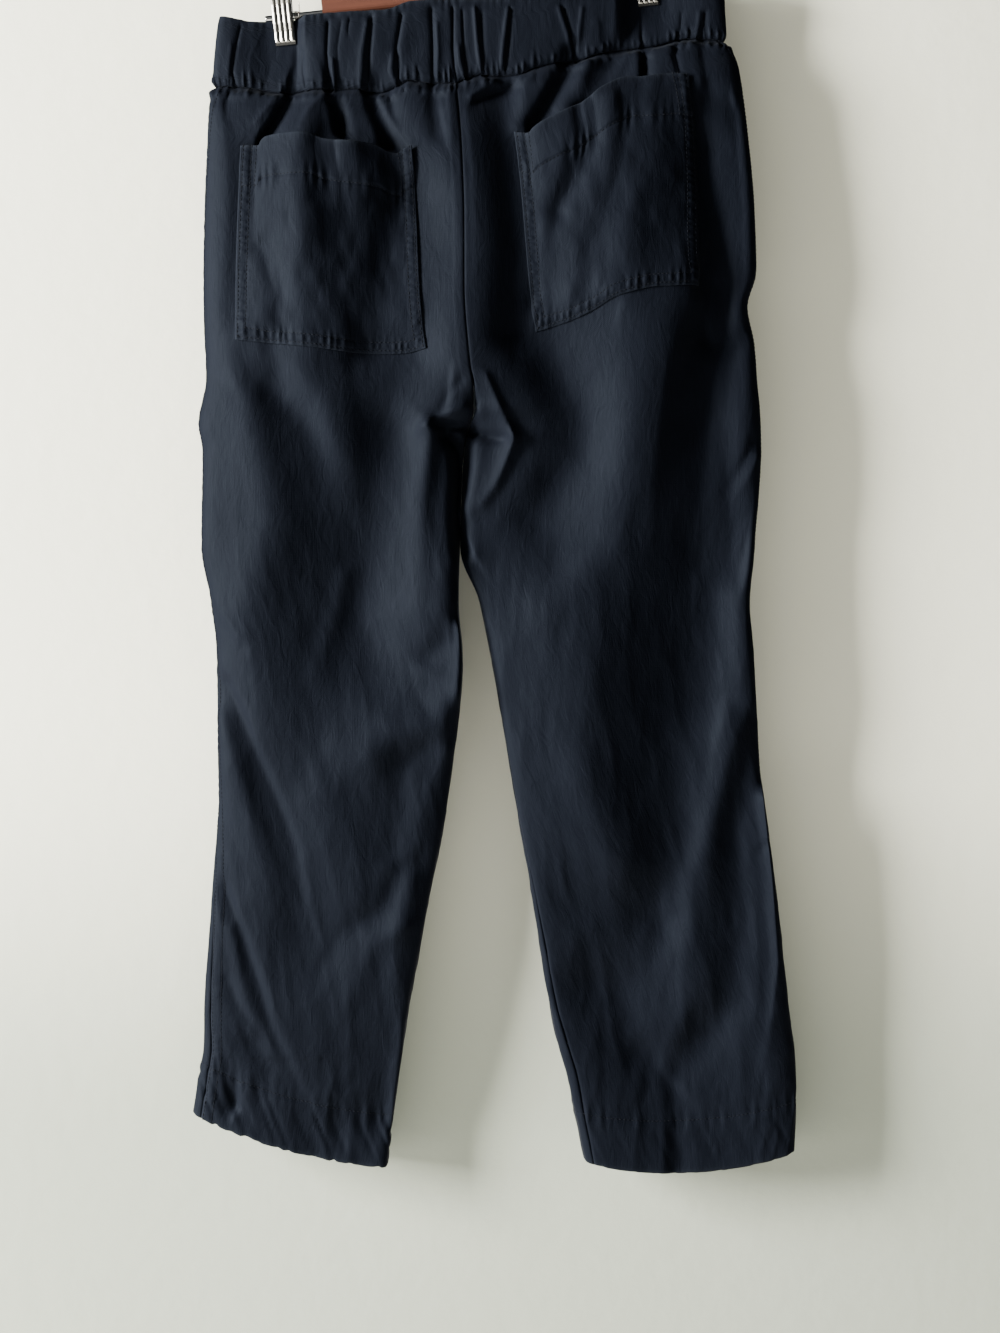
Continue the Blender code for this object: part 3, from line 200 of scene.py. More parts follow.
BACK_FOLDS = in_metres((
    # The band of shadow beside the centre back seam.
    Fold(((37, 78), (47, 118), (51, 166), (51, 221)), 22, 7, -1.6, -2.4),
    Fold(((28, 78), (36, 125), (42, 192), (37, 251)), 15, 18, -3.2, -4.6),
    Fold(((49, 255), (65, 282), (88, 299), (92, 321), (88, 347), (68, 365), (54, 388)), 20, 22, -3, -6),
    Fold(((3, 88), (8, 132), (10, 184), (11, 243)), 3, 12, 1, 0),
    # Left pocket and the seat beside it.
    Fold(((-118, 110), (-117, 155), (-117, 206), (-114, 251)), 16, 20, 7, 4),
    Fold(((-88, 112), (-87, 138), (-86, 164)), 10, 18, 6, 0),
    Fold(((-105, 118), (-102, 155), (-88, 199), (-77, 251)), 20, 28, -4.5, 0),
    Fold(((-57, 120), (-51, 137), (-60, 152)), 10, 12, -2, -2),
    Fold(((-62, 169), (-62, 214), (-69, 262)), 16, 18, -3, -4.5),
    Fold(((-39, 155), (-43, 199), (-39, 243)), 20, 25, -7, -1.5),
    Fold(((-46, 118), (-46, 140), (-53, 184), (-63, 229)), 16, 6, -2, 0),
    Fold(((-148, 190), (-139, 218), (-132, 250)), 6, 11, -2, -1),
    Fold(((-154, 118), (-159, 169), (-164, 243)), 12, 11, -2.5, -1.5),
    Fold(((-180, 88), (-176, 155), (-182, 251)), 12, 6, 1.5, 0.5),
    Fold(((-9, 125), (5, 192), (-6, 266)), 20, 35, 5, 5),
    # Right pocket and the seat beside it.
    Fold(((89, 85), (94, 111), (83, 135), (71, 162)), 8, 10, -4.5, -3),
    Fold(((68, 159), (65, 192), (57, 228)), 10, 15, -2, -4),
    Fold(((151, 103), (140, 134), (128, 163), (117, 220)), 12, 20, 0.5, 3.5),
    Fold(((108, 81), (107, 133), (94, 185), (79, 228)), 10, 8, 2, 1),
    Fold(((128, 69), (123, 92), (113, 132), (99, 178), (86, 208)), 10, 6, -1.5, -0.5),
    Fold(((129, 118), (126, 149), (113, 190), (104, 220)), 12, 11, 0, 3),
    Fold(((179, 78), (177, 125), (186, 177), (185, 258)), 8, 12, -3.5, -3),
    Fold(((181, 118), (188, 162), (185, 215)), 34, 20, -5.5, -6.5),
    Fold(((200, 88), (205, 155), (205, 214)), 15, 6, -3, -2),
    # Left thigh.
    Fold(((-151, 267), (-151, 325), (-140, 391), (-161, 457), (-145, 539)), 22, 26, 8, 3),
    Fold(((-139, 265), (-142, 303), (-134, 332)), 18, 17, -9, -2),
    Fold(((-131, 266), (-105, 299), (-88, 349), (-84, 377)), 12, 16, 4, 1),
    Fold(((-161, 266), (-155, 288), (-136, 300), (-118, 317), (-105, 344), (-97, 374)), 11, 11, -4, 0),
    Fold(((-121, 317), (-99, 374), (-87, 420), (-86, 480)), 45, 40, -3, -7.5),
    Fold(((-81, 273), (-72, 317), (-74, 362)), 8, 24, -2, 0),
    Fold(((-54, 324), (-63, 371), (-68, 420), (-74, 465), (-62, 498)), 24, 23, -6.5, -4.5),
    Fold(((-40, 270), (-48, 297), (-58, 324)), 23, 26, -6.5, -2),
    Fold(((-25, 325), (-31, 377), (-31, 421), (-33, 465), (-40, 501)), 10, 8, 5, -1),
    Fold(((-88, 432), (-97, 466), (-111, 507)), 7, 9, 1.5, 0.8),
    Fold(((-18, 354), (-12, 406), (-10, 451)), 26, 18, 1, 8),
    Fold(((-12, 461), (-14, 480), (-26, 492)), 8, 8, 0, -2.5),
    Fold(((0, 472), (0, 496), (0, 519)), 8, 7, 10, 6),
    Fold(((-3, 520), (-19, 544), (-53, 548), (-65, 562)), 18, 16, 7.5, 5),
    Fold(((-86, 513), (-82, 534), (-88, 558)), 14, 20, 0.5, 2.5),
    Fold(((-186, 282), (-176, 291), (-165, 306)), 4, 4, -1, -0.4),
    Fold(((-189, 443), (-179, 460), (-167, 477)), 3.5, 6, 1.5, 2),
    # Left knee and lower leg: sharp folds that overlap on their left.
    Fold(((-176, 513), (-162, 545), (-149, 576), (-136, 605), (-125, 636), (-120, 673)), 16, 3, -4, -0.8),
    Fold(((-183, 542), (-170, 579), (-157, 615), (-147, 658), (-142, 695)), 16, 12, 6, 0.5),
    Fold(((-179, 664), (-164, 701), (-152, 738), (-144, 769), (-128, 801), (-117, 828)), 12, 3, -4, -1),
    Fold(((-173, 696), (-165, 729), (-155, 762), (-143, 791)), 6, 5, 1.5, 0.5),
    Fold(((-176, 732), (-167, 754), (-149, 778), (-136, 806), (-121, 836)), 8, 3.5, -2.5, 0.5),
    Fold(((-174, 784), (-170, 806), (-172, 828)), 8, 4, 0, -4),
    Fold(((-155, 781), (-146, 799), (-149, 818)), 12, 6, -2.5, -1),
    Fold(((-29, 559), (-46, 575), (-47, 603), (-54, 640)), 10, 7, -1.5, -1),
    Fold(((-12, 563), (-25, 591), (-31, 620), (-37, 642)), 7, 9, 2, 0),
    Fold(((-41, 658), (-43, 690), (-65, 705), (-78, 730), (-88, 757)), 10, 8, 2.5, 0.8),
    Fold(((-46, 652), (-60, 682), (-90, 698), (-105, 723)), 7, 10, -2, -1),
    Fold(((-46, 695), (-50, 747), (-54, 791), (-60, 836)), 14, 11, 2.5, -3),
    Fold(((-114, 702), (-119, 747), (-114, 783), (-108, 820)), 26, 25, -3.5, 3.5),
    Fold(((-179, 577), (-173, 621), (-173, 673)), 12, 9, 2, -0.5),
    Fold(((-106, 599), (-94, 635), (-86, 665)), 18, 26, 3.5, 2.5),
    Fold(((-57, 648), (-67, 665), (-74, 681)), 6, 10, 1, -1.5),
    Fold(((-31, 643), (-34, 703), (-45, 776), (-51, 836)), 6, 16, -1, 2.5),
    Fold(((-88, 747), (-80, 791), (-87, 828)), 60, 60, 0, -6),
    Fold(((-71, 584), (-76, 613), (-83, 642)), 12, 10, 1, 0),
    # Crotch: the hollow, the ridges round it and the fold that points away from it.
    Fold(((11, 309), (0, 308), (-13, 313), (-29, 320)), 2.6, 6, 2.4, 3),
    Fold(((-25, 320), (-14, 337), (-11, 360), (-9, 393), (-6, 423)), 14, 2.4, 3, 3.6),
    Fold(((-13, 328), (-4, 337), (-3, 354), (-4, 374), (-4, 391), (-3, 412)), 3.6, 6, -12, -8),
    Fold(((-20, 320), (-9, 321), (6, 322)), 3, 4, -7, -7),
    Fold(((5, 325), (17, 328), (30, 331)), 3.4, 3.2, -9, -4),
    Fold(((-1, 288), (-10, 297), (-17, 309)), 3, 3.6, -1.4, -1.2),
    Fold(((17, 285), (26, 306), (37, 328)), 5, 2.4, 1.6, 5),
    Fold(((37, 332), (31, 349), (23, 366), (14, 378)), 6, 3.4, 5, 2.6),
    Fold(((9, 337), (8, 353), (4, 366), (-1, 381)), 4, 9, 3, 3),
    Fold(((-1, 381), (-1, 391), (3, 403), (9, 417)), 3, 9, 3.4, 3),
    # Right thigh.
    Fold(((180, 258), (180, 303), (177, 354), (173, 421)), 22, 9, -3.5, -1.5),
    Fold(((166, 229), (148, 280), (142, 324), (135, 368), (128, 414)), 45, 11, 9, 0),
    Fold(((69, 257), (79, 317), (75, 393), (70, 451)), 24, 30, -6, -5),
    Fold(((119, 243), (121, 303), (116, 363), (110, 411), (63, 454)), 18, 18, 1, 3.5),
    Fold(((80, 465), (80, 527), (73, 593)), 36, 36, 9.5, 2),
    Fold(((196, 258), (188, 317), (196, 391), (196, 451), (190, 517)), 34, 17, -8, -7.5),
    Fold(((212, 248), (201, 265), (187, 285)), 3, 5, -2, 0),
    Fold(((216, 332), (208, 349), (191, 374)), 3.5, 5, -2.5, 0),
    Fold(((219, 344), (211, 360), (197, 380)), 2.5, 3.5, 1.8, 0),
    # Right knee and lower leg.
    Fold(((172, 420), (166, 465), (159, 516), (162, 570), (157, 621), (143, 665)), 34, 30, -4.5, -9),
    Fold(((110, 436), (105, 480), (97, 525), (91, 569), (102, 613), (119, 649)), 20, 30, 1, 3.5),
    Fold(((214, 531), (200, 568), (188, 608), (175, 650), (166, 694), (171, 747), (159, 784)), 11, 14, 5, 1),
    Fold(((214, 537), (206, 576), (201, 621), (205, 665), (205, 710),
          (202, 747), (183, 773), (163, 799)), 17, 14, -7.5, -3),
    Fold(((140, 689), (128, 718), (119, 747), (121, 778), (137, 793)), 38, 16, 0, -4.5),
    Fold(((130, 788), (137, 813), (128, 836)), 8, 4, -0.5, -0.5),
    Fold(((154, 813), (157, 843), (159, 873)), 7, 9, -1.2, -1.8),
    Fold(((208, 451), (203, 518), (196, 579), (179, 645), (163, 698)), 15, 50, 7, -3),
    Fold(((226, 598), (232, 658), (236, 718), (227, 793)), 6, 34, 12, 1),
    Fold(((230, 628), (222, 634), (214, 642)), 2, 4, -2.5, 0),
    Fold(((120, 642), (108, 687), (105, 733)), 34, 38, 4, -8),
    Fold(((146, 693), (140, 738), (131, 784)), 20, 15, -5, -3),
    Fold(((92, 582), (98, 634), (86, 672)), 22, 22, 2.5, -3),
    Fold(((174, 790), (177, 822), (186, 851)), 42, 42, -7.5, -4.5),
))
FRONT_FOLDS = in_metres((
    Fold(((-176, 113), (-178, 225), (-178, 330)), 14, 16, -5, -4),
    Fold(((-131, 128), (-134, 247), (-135, 360)), 16, 14, 4.5, 3.5),
    Fold(((-93, 315), (-78, 285), (-48, 255)), 8, 12, 4.4, 3),
    Fold(((-86, 352), (-86, 450), (-90, 555)), 16, 16, -4.6, -3),
    Fold(((-145, 420), (-151, 525), (-161, 645)), 16, 14, -4, -3),
    Fold(((-116, 525), (-123, 600), (-116, 675)), 14, 14, 3, 2),
    Fold(((-176, 675), (-161, 735), (-138, 795)), 4, 12, 2.8, 1.6),
    Fold(((-63, 615), (-78, 675), (-93, 735)), 9, 9, 2.6, 2),
    Fold(((57, 255), (35, 285), (27, 323)), 8, 10, 4.4, 3),
    Fold(((87, 352), (90, 450), (95, 570)), 16, 16, -4.4, -3),
    Fold(((150, 135), (153, 247), (159, 360)), 16, 14, -5, -4),
    Fold(((117, 158), (121, 263), (128, 375)), 16, 14, 4.4, 3),
    Fold(((192, 300), (195, 390), (192, 480)), 10, 14, 3.2, 2.4),
    Fold(((162, 525), (170, 615), (180, 720)), 16, 14, -4.2, -3),
    Fold(((132, 570), (140, 645), (144, 735)), 12, 14, 3.4, 2.4),
    Fold(((102, 675), (105, 735), (110, 795)), 10, 10, 2, 1.6),
))
RELIEF = 1.25
CREASED = 0.004
CREASE_POWER = 1.35
FOLD_POWER = 2.0
FOLD_REACH = 3.2
FLANK_TURN = 0.0008
GATHER_DEPTH = 0.0026
GATHER_WIDTH = 0.0032
GATHERED_ACROSS = 0.19
FRONT_GATHERS = {
    "left": (0.08, 0.21, 0.37, 0.52, 0.668, 0.79, 0.92),
    "right": (0.07, 0.19, 0.34, 0.49, 0.64, 0.78, 0.915),
}


def through(places, values, at):
    """A smooth curve through a table's values, which never overshoots them."""
    places, values = np.asarray(places, float), np.asarray(values, float)
    at = np.clip(np.asarray(at, float), places[0], places[-1])
    gap = np.diff(places)
    slope = np.diff(values) / gap
    turns = slope[:-1] * slope[1:] <= 0.0
    before, after = np.where(turns, 1.0, slope[:-1]), np.where(turns, 1.0, slope[1:])
    nearer, further = 2.0 * gap[1:] + gap[:-1], gap[1:] + 2.0 * gap[:-1]
    mean = (nearer + further) / (nearer / before + further / after)
    tangent = np.concatenate(([slope[0]], np.where(turns, 0.0, mean), [slope[-1]]))
    index = np.clip(np.searchsorted(places, at, side="right") - 1, 0, len(places) - 2)
    width = gap[index]
    t = (at - places[index]) / width
    return (values[index] * (1 + 2 * t) * (1 - t) ** 2 + values[index + 1] * t * t * (3 - 2 * t)
            + width * (tangent[index] * t * (1 - t) ** 2 - tangent[index + 1] * t * t * (1 - t)))


def fade(value, start, end):
    """One at start, nothing at end, and a soft slope between."""
    t = np.clip((np.asarray(value, float) - end) / (start - end), 0.0, 1.0)
    return t * t * (3.0 - 2.0 * t)


def section_values(side, name, row):
    """A value of the cross-sections of one side, at a row that may lie between two sections."""
    leg = LEFT_LEG if side == "left" else RIGHT_LEG
    of_torso = {"inner_drop": "drop", "inner_x": "middle", "outer_drop": side + "_drop",
                "outer_x": side + "_x", "sag": side + "_sag"}.get(name, name)
    values = [getattr(section, of_torso, 0.0) for section in TORSO]
    values += [getattr(section, name, 1.0) for section in leg]
    return through(range(len(values)), values, row)


def waist_drop(side, edge, share):
    """The drop of the waistband's seam or top edge at a share of the way to the side."""
    return through([w.share for w in WAIST], [getattr(w, side + "_" + edge) for w in WAIST], share)


def folded(folds, x, drop):
    """How far the folds lift the cloth at each place."""
    lift = np.zeros(x.shape)
    for fold in folds:
        path = fold.path
        reach = FOLD_REACH * max(fold.left, fold.right)
        near = ((x > path[:, 0].min() - reach) & (x < path[:, 0].max() + reach)
                & (drop > path[:, 1].min() - reach) & (drop < path[:, 1].max() + reach))
        px, py = x[near], drop[near]
        best = np.full(px.shape, np.inf)
        side, share = np.zeros(px.shape), np.zeros(px.shape)
        steps = np.linalg.norm(np.diff(path, axis=0), axis=1)
        walked = np.concatenate(([0.0], np.cumsum(steps))) / steps.sum()
        for number, (start, end) in enumerate(zip(path, path[1:])):
            along = end - start
            t = ((px - start[0]) * along[0] + (py - start[1]) * along[1]) / (along @ along)
            t = np.clip(t, 0.0, 1.0)
            away_x, away_y = px - start[0] - t * along[0], py - start[1] - t * along[1]
            away = away_x ** 2 + away_y ** 2
            closer = away < best
            best = np.where(closer, away, best)
            side = np.where(closer, along[0] * away_y - along[1] * away_x, side)
            share = np.where(closer, walked[number] + t * (walked[number + 1] - walked[number]), share)
        turn = 0.5 + 0.5 * np.tanh(side / (np.linalg.norm(path[-1] - path[0]) * FLANK_TURN))
        width = fold.right + (fold.left - fold.right) * turn
        power = CREASE_POWER if min(fold.left, fold.right) < CREASED else FOLD_POWER
        height = fold.height + (fold.to_height - fold.height) * share
        lift[near] += RELIEF * height * np.exp(-(np.sqrt(best) / width) ** power)
    return lift


def gathers(side, share, row):
    """The hidden front's gathers: an uneven row of creases, dying out below the seam."""
    depth = np.zeros(share.shape)
    for number, place in enumerate(FRONT_GATHERS[side]):
        beside = np.abs(share - place) * GATHERED_ACROSS
        unlike = 1.0 + 0.3 * math.sin(2.4 * number)
        depth += GATHER_DEPTH * unlike * np.exp(-(beside / GATHER_WIDTH) ** 1.3)
    return depth * fade(row, SEAM_ROW, GATHERS_END_ROW)


def rounded_off(share, power):
    """One at a share of nothing, and nothing at a whole, as round as the power says."""
    return (1.0 - np.clip(share, 0.0, 1.0) ** power) ** (1.0 / power)


def cloth(side, face, share, row, gathered=True):
    """Points of the garment's outer face, from the inner seam to the side seam of one panel.

    A place is found by its angle round the leg, because a leg that hangs turned shows one seam and
    hides the other. Without its gathers, the face is the calmer form that a pocket has.
    """
    share, row = np.broadcast_arrays(np.asarray(share, float), np.asarray(row, float))
    at_seam = share
    angle = np.arccos(np.clip(1.0 - 2.0 * share, -1.0, 1.0)) / np.pi * (1.0 if face == "back" else -1.0)
    turn = section_values(side, "turn", row) * (row > CROTCH_ROW)
    angle = angle + turn * (-1.0 if side == "left" else 1.0)
    angle = np.where(angle > 1.0, angle - 2.0, np.where(angle < -1.0, angle + 2.0, angle))
    on_back = (angle > 0.0) | ((angle == 0.0) & (face == "back"))
    share = 0.5 * (1.0 - np.cos(np.pi * angle))

    inner_drop = section_values(side, "inner_drop", row)
    outer_drop = section_values(side, "outer_drop", row)
    drop = inner_drop + (outer_drop - inner_drop) * share
    drop = drop + section_values(side, "sag", row) * 4.0 * share * (1.0 - share)
    seam, top = waist_drop(side, "seam", share), waist_drop(side, "top", share)
    seam_line = TORSO[SEAM_ROW].drop + (waist_drop(side, "seam", 1.0) - TORSO[SEAM_ROW].drop) * share
    drop = np.where(row < SEAM_ROW, top + (seam - top) * row,
                    drop + (seam - seam_line) * fade(row, SEAM_ROW, POCKET_TOP_ROW))
    inner_x = section_values(side, "inner_x", row)
    x = inner_x + (section_values(side, "outer_x", row) - inner_x) * share

    closed = section_values(side, "closed", row)
    round_outer = rounded_off((share - ROUND_FROM) / (1.0 - ROUND_FROM), OUTER_POWER[side])
    round_inner = 1.0 - closed * (1.0 - rounded_off((ROUND_FROM - share) / ROUND_FROM, INNER_POWER))
    full = round_outer * round_inner
    half = np.where(on_back, section_values(side, "back", row), section_values(side, "front", row))
    past_clip = np.abs(x) - CLIP_ACROSS
    opening_out = np.where(past_clip > 0.0, PINCH_FADE_OUTSIDE, PINCH_FADE[side])
    under_clip = fade(np.abs(past_clip), PINCH_REACH, PINCH_REACH + opening_out) * fade(row, *PINCH_ROWS)
    half = half * full
    half = half + (np.minimum(half, PINCHED) - half) * under_clip

    back_folds = GATHER_FOLDS + BACK_FOLDS if gathered else BACK_FOLDS
    lift = np.where(on_back, folded(back_folds, x, drop), folded(FRONT_FOLDS, x, drop))
    if face == "front":
        lift = lift - gathers(side, at_seam, row)
    half = half + lift * (1.0 - PINCH_FLATTENS * under_clip) * np.sqrt(np.maximum(full, 0.0))
    inset = section_values(side, "inset", row) * closed
    y = np.where(on_back, -half, half) + inset * fade(share, 0.0, INSET_TO)
    return np.stack([MIDDLE_X + x, y, WAIST_Z - drop], axis=-1)


def columns(side, count, row):
    """Shares from the inner seam to the side seam: even, and by the angle where a leg is turned."""
    column = np.linspace(0.0, 1.0, count)
    turned = np.clip(section_values(side, "turn", row) * (row > CROTCH_ROW) / WELL_TURNED, 0.0, 1.0)
    by_angle = 0.5 * (1.0 - np.cos(np.pi * column))
    even = 0.5 * column + 0.5 * by_angle
    return even + (by_angle - even) * turned


def rows_between(side, first, last, spacing):
    """Rows from one section to another, at about the given distances in each section's stretch."""
    found = []
    for number in range(first, last):
        step = section_values(side, "inner_drop", number + 1) - section_values(side, "inner_drop", number)
        count = max(2, round(float(step) / spacing(number)))
        found += [number + k / count for k in range(count)]
    return np.array(found + [float(last)])[:, None]


def grid_normals(points, outward):
    """Unit normals of a grid of points."""
    across, down = np.gradient(points, axis=1), np.gradient(points, axis=0)
    normal = np.cross(across, down) * outward
    return normal / np.linalg.norm(normal, axis=-1, keepdims=True)


def distance_from(points, axis, far_end=False):
    """For each point of a grid, how far along the cloth it is from one edge."""
    step = np.linalg.norm(np.diff(points, axis=axis), axis=-1)
    walked = np.cumsum(step, axis=axis)
    walked = np.insert(walked, 0, 0.0, axis=axis)
    if far_end:
        walked = np.take(walked, [-1], axis=axis) - walked
    return walked


CELLS = (61, 67)
Crumple = namedtuple("Crumple", "height across down lean")
CRUMPLES = (
    Crumple(0.00085, 0.019, 0.060, 0.10),
    Crumple(0.00045, 0.011, 0.030, 0.22),
)
MOTTLE = Crumple(0.00012, 0.007, 0.014, 0.0)
CRUMPLE_POWER = 0.8


def uneven(u, v, across, down, seed):
    """Soft unevenness from -1 to 1, in cells of the given size."""
    table = np.random.default_rng(seed).uniform(-1.0, 1.0, CELLS)
    a, b = u / across, v / down
    i, j = np.floor(a).astype(int), np.floor(b).astype(int)
    s, t = a - i, b - j
    s, t = s * s * (3.0 - 2.0 * s), t * t * (3.0 - 2.0 * t)

    def corner(right, below):
        return table[(i + right) % CELLS[0], (j + below) % CELLS[1]]
    return ((corner(0, 0) * (1 - s) + corner(1, 0) * s) * (1 - t)
            + (corner(0, 1) * (1 - s) + corner(1, 1) * s) * t)


def crumpled(u, v, seed):
    """The small sharp creases of washed linen, longer down the leg than across it."""
    height = 0.0
    for number, crumple in enumerate(CRUMPLES):
        ridges = np.abs(uneven(u + crumple.lean * v, v, crumple.across, crumple.down, seed + number))
        height = height + crumple.height * ridges ** CRUMPLE_POWER
    return height + MOTTLE.height * uneven(u, v, MOTTLE.across, MOTTLE.down, seed + len(CRUMPLES))


def soft(values, passes, axis=1):
    """A grid's values evened out over their neighbours."""
    for _ in range(passes):
        padded = np.concatenate((np.take(values, [0], axis), values, np.take(values, [-1], axis)), axis)
        length = values.shape[axis]
        values = (np.take(padded, range(length), axis) + 2.0 * values
                  + np.take(padded, range(2, length + 2), axis)) / 4.0
    return values


def add_piece(name, mesh, material):
    """A finished piece, at its place on the model."""
    mesh.materials.append(material)
    piece = bpy.data.objects.new(name, mesh)
    bpy.context.scene.collection.objects.link(piece)
    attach(piece, "root")
    return piece


EDGE_ANGLES = (math.pi / 4, math.pi / 2, 3 * math.pi / 4)


def turned_inwards(outer, normal):
    """Whether a grid's faces, in the order that the shell takes them, look away from its normals."""
    corner = outer[:-1, :-1]
    facing = np.cross(outer[:-1, 1:] - corner, outer[1:, :-1] - corner)
    return np.einsum("ij,ij->", facing.reshape(-1, 3), normal[:-1, :-1].reshape(-1, 3)) > 0.0


def shell_mesh(name, outer, normal, wall, faded, top_round=1.0, foot_round=1.0, ring=False):
    """A closed shell: its outer face, rounded edges at the top and foot, and its inner face.

    Its UV map lies along the threads, and its attribute worn says how faded each place is.
    """
    even = soft(soft(normal, 3), 3, axis=0)
    even /= np.linalg.norm(even, axis=-1, keepdims=True)
    inner = outer - wall * even
    u = distance_from(outer, 1)
    u = u - u[:, [u.shape[1] // 2]]
    v = np.broadcast_to(distance_from(outer, 0)[:, [outer.shape[1] // 2]], u.shape)

    def edge(one, other, before, bulge):
        centre, radius = (one + other) / 2.0, (one - other) / 2.0
        out = one - before
        out = out / np.linalg.norm(out, axis=-1, keepdims=True)
        thick = np.linalg.norm(radius, axis=-1, keepdims=True)
        return [centre + radius * math.cos(a) + out * thick * bulge * math.sin(a)
                for a in EDGE_ANGLES]

    foot = edge(outer[-1], inner[-1], outer[-2], foot_round)
    top = edge(outer[0], inner[0], outer[1], top_round)[::-1]
    around = np.concatenate((outer, foot, inner[::-1], top))
    steps = len(EDGE_ANGLES)
    spread = [np.concatenate((field, [field[-1]] * steps, field[::-1], [field[0]] * steps))
              for field in (u, v, faded)]
    count, wide = around.shape[:2]
    rows_of, columns_of = np.meshgrid(np.arange(count), np.arange(wide if ring else wide - 1), indexing="ij")
    below, beside = (rows_of + 1) % count, (columns_of + 1) % wide
    faces = np.stack([rows_of * wide + columns_of, below * wide + columns_of,
                      below * wide + beside, rows_of * wide + beside], -1).reshape(-1, 4).tolist()
    if not ring:
        # The two sides are closed from the outer face to the inner one.
        last = len(outer) - 1
        for column, way in ((0, 1), (wide - 1, -1)):
            for r in range(last):
                within = 2 * last + steps + 1 - r
                faces.append([k * wide + column for k in (r, within, within - 1, r + 1)][::way])
            for turned in (range(last, last + steps + 2), [*range(2 * last + steps + 1, count), 0]):
                faces.append([k * wide + column for k in turned][::-way])
    mesh = bpy.data.meshes.new(name)
    mesh.from_pydata(around.reshape(-1, 3).tolist(), [], faces)
    weave = mesh.uv_layers.new(name="weave")
    corners = np.empty(len(mesh.loops), np.int32)
    mesh.loops.foreach_get("vertex_index", corners)
    placed = np.stack([spread[0].reshape(-1), -spread[1].reshape(-1)], -1)[corners]
    if ring:
        # The last column is as wide as the one before it, so that the weave doesn't run back.
        quads = placed.reshape(count, wide, 4, 2)
        quads[:, -1, 2:, 0] = quads[:, -1, 1::-1, 0] + np.diff(quads[:, -2, 1:3, 0])
    weave.data.foreach_set("uv", placed.astype(np.float32).reshape(-1))
    worn = mesh.attributes.new("worn", "FLOAT", "POINT")
    worn.data.foreach_set("value", spread[2].reshape(-1).astype(np.float32))
    mesh.shade_smooth()
    if turned_inwards(outer, normal):
        mesh.flip_normals()
    return mesh


class Finish:
    """A socket of a material. Python's operators add Math nodes to it."""

    def __init__(self, tree, socket=None):
        self.tree, self.socket = tree, socket

    def node(self, kind, settings=(), inputs=(), output=0):
        """Any other node: its settings first, then the values or links of its sockets."""
        made = self.tree.nodes.new("ShaderNode" + kind)
        for name, value in dict(settings).items():
            setattr(made, name, value)
        for name, value in dict(inputs).items():
            if isinstance(value, Finish):
                self.tree.links.new(value.socket, made.inputs[name])
            else:
                made.inputs[name].default_value = value
        return Finish(self.tree, made.outputs[output])

    def maths(self, operation, *values):
        return self.node("Math", {"operation": operation}, dict(enumerate(values)))

    def __add__(self, other):
        return self.maths("ADD", self, other)

    def __sub__(self, other):
        return self.maths("SUBTRACT", self, other)

    def __rsub__(self, other):
        return self.maths("SUBTRACT", other, self)

    def __mul__(self, other):
        return self.maths("MULTIPLY", self, other)

    __radd__, __rmul__ = __add__, __mul__

    def on_object(self):
        return self.node("TexCoord", (), (), "Object")

    def blend(self, one, other):
        """From one colour to another, as this value goes from nothing to one."""
        return self.node("Mix", {"data_type": "RGBA"}, {"Factor": self, "A": one, "B": other}, "Result")

    def bump(self):
        """The normal of a surface with this height, in metres."""
        return self.node("Bump", (), {"Height": self, "Strength": 1.0, "Distance": 1.0})

    def noise(self, place, stretch, detail, warp=0.0):
        """Noise whose grain is as fine as stretch says, in each direction, per metre."""
        place = self.node("Mapping", (), {"Vector": place, "Scale": stretch})
        return self.node("TexNoise", (), {
            "Vector": place, "Scale": 1.0, "Detail": detail, "Distortion": warp})


def new_finish(name, settings):
    """A material, the start of its nodes, and its shader with its constant values set."""
    material = bpy.data.materials.new(name)
    material.use_nodes = True
    shader = material.node_tree.nodes["Principled BSDF"]
    for socket, value in settings.items():
        shader.inputs[socket].default_value = value
    return material, Finish(material.node_tree), shader


def feed(finish, shader, **links):
    """Links values to the shader's sockets, named with underscores for their blanks."""
    for name, value in links.items():
        finish.tree.links.new(value.socket, shader.inputs[name.replace("_", " ")])


CLOTH_DARK = (0.0020, 0.0026, 0.0049, 1.0)
CLOTH_LIGHT = (0.0048, 0.0060, 0.0100, 1.0)
CLOTH_WORN = (0.0100, 0.0124, 0.0175, 1.0)
TWILL_RIBS = 5200.0


def cloth_finish():
    """Dark twill with slubs along both threads, washed unevenly and paler on its worn edges."""
    material, paint, shader = new_finish("washed_twill", {
        "Sheen Weight": 0.025, "Sheen Roughness": 0.45, "Sheen Tint": (0.55, 0.60, 0.68, 1.0),
        "Specular IOR Level": 0.05, "Specular Tint": (0.70, 0.85, 1.0, 1.0)})
    place = paint.node("UVMap", {"uv_map": "weave"})
    worn = paint.node("Attribute", {"attribute_name": "worn"}, (), "Fac")
    slub_down = paint.noise(place, (1300.0, 70.0, 1.0), 3.0)
    slub_across = paint.noise(place, (60.0, 1300.0, 1.0), 3.0)
    cloudy = paint.noise(paint.on_object(), (16.0, 16.0, 9.0), 4.0, 0.4)
    crinkle = paint.noise(place, (150.0, 60.0, 1.0), 4.0, 0.8)
    split = paint.node("SeparateXYZ", (), {"Vector": place})
    u, v = split, Finish(split.tree, split.socket.node.outputs[1])
    ribs = paint.maths("SINE", (u + v) * TWILL_RIBS)
    tone = (slub_down * 0.45 + slub_across * 0.25 + cloudy * 0.75 - 0.22) * 0.85
    base = (worn * (0.45 + slub_down * 0.7)).blend(tone.blend(CLOTH_DARK, CLOTH_LIGHT), CLOTH_WORN)
    height = ribs * 0.000018 + slub_down * 0.00016 + slub_across * 0.00010 + crinkle * 0.00055
    feed(paint, shader, Base_Color=base, Normal=height.bump(), Roughness=0.74 - slub_down * 0.16)
    return material


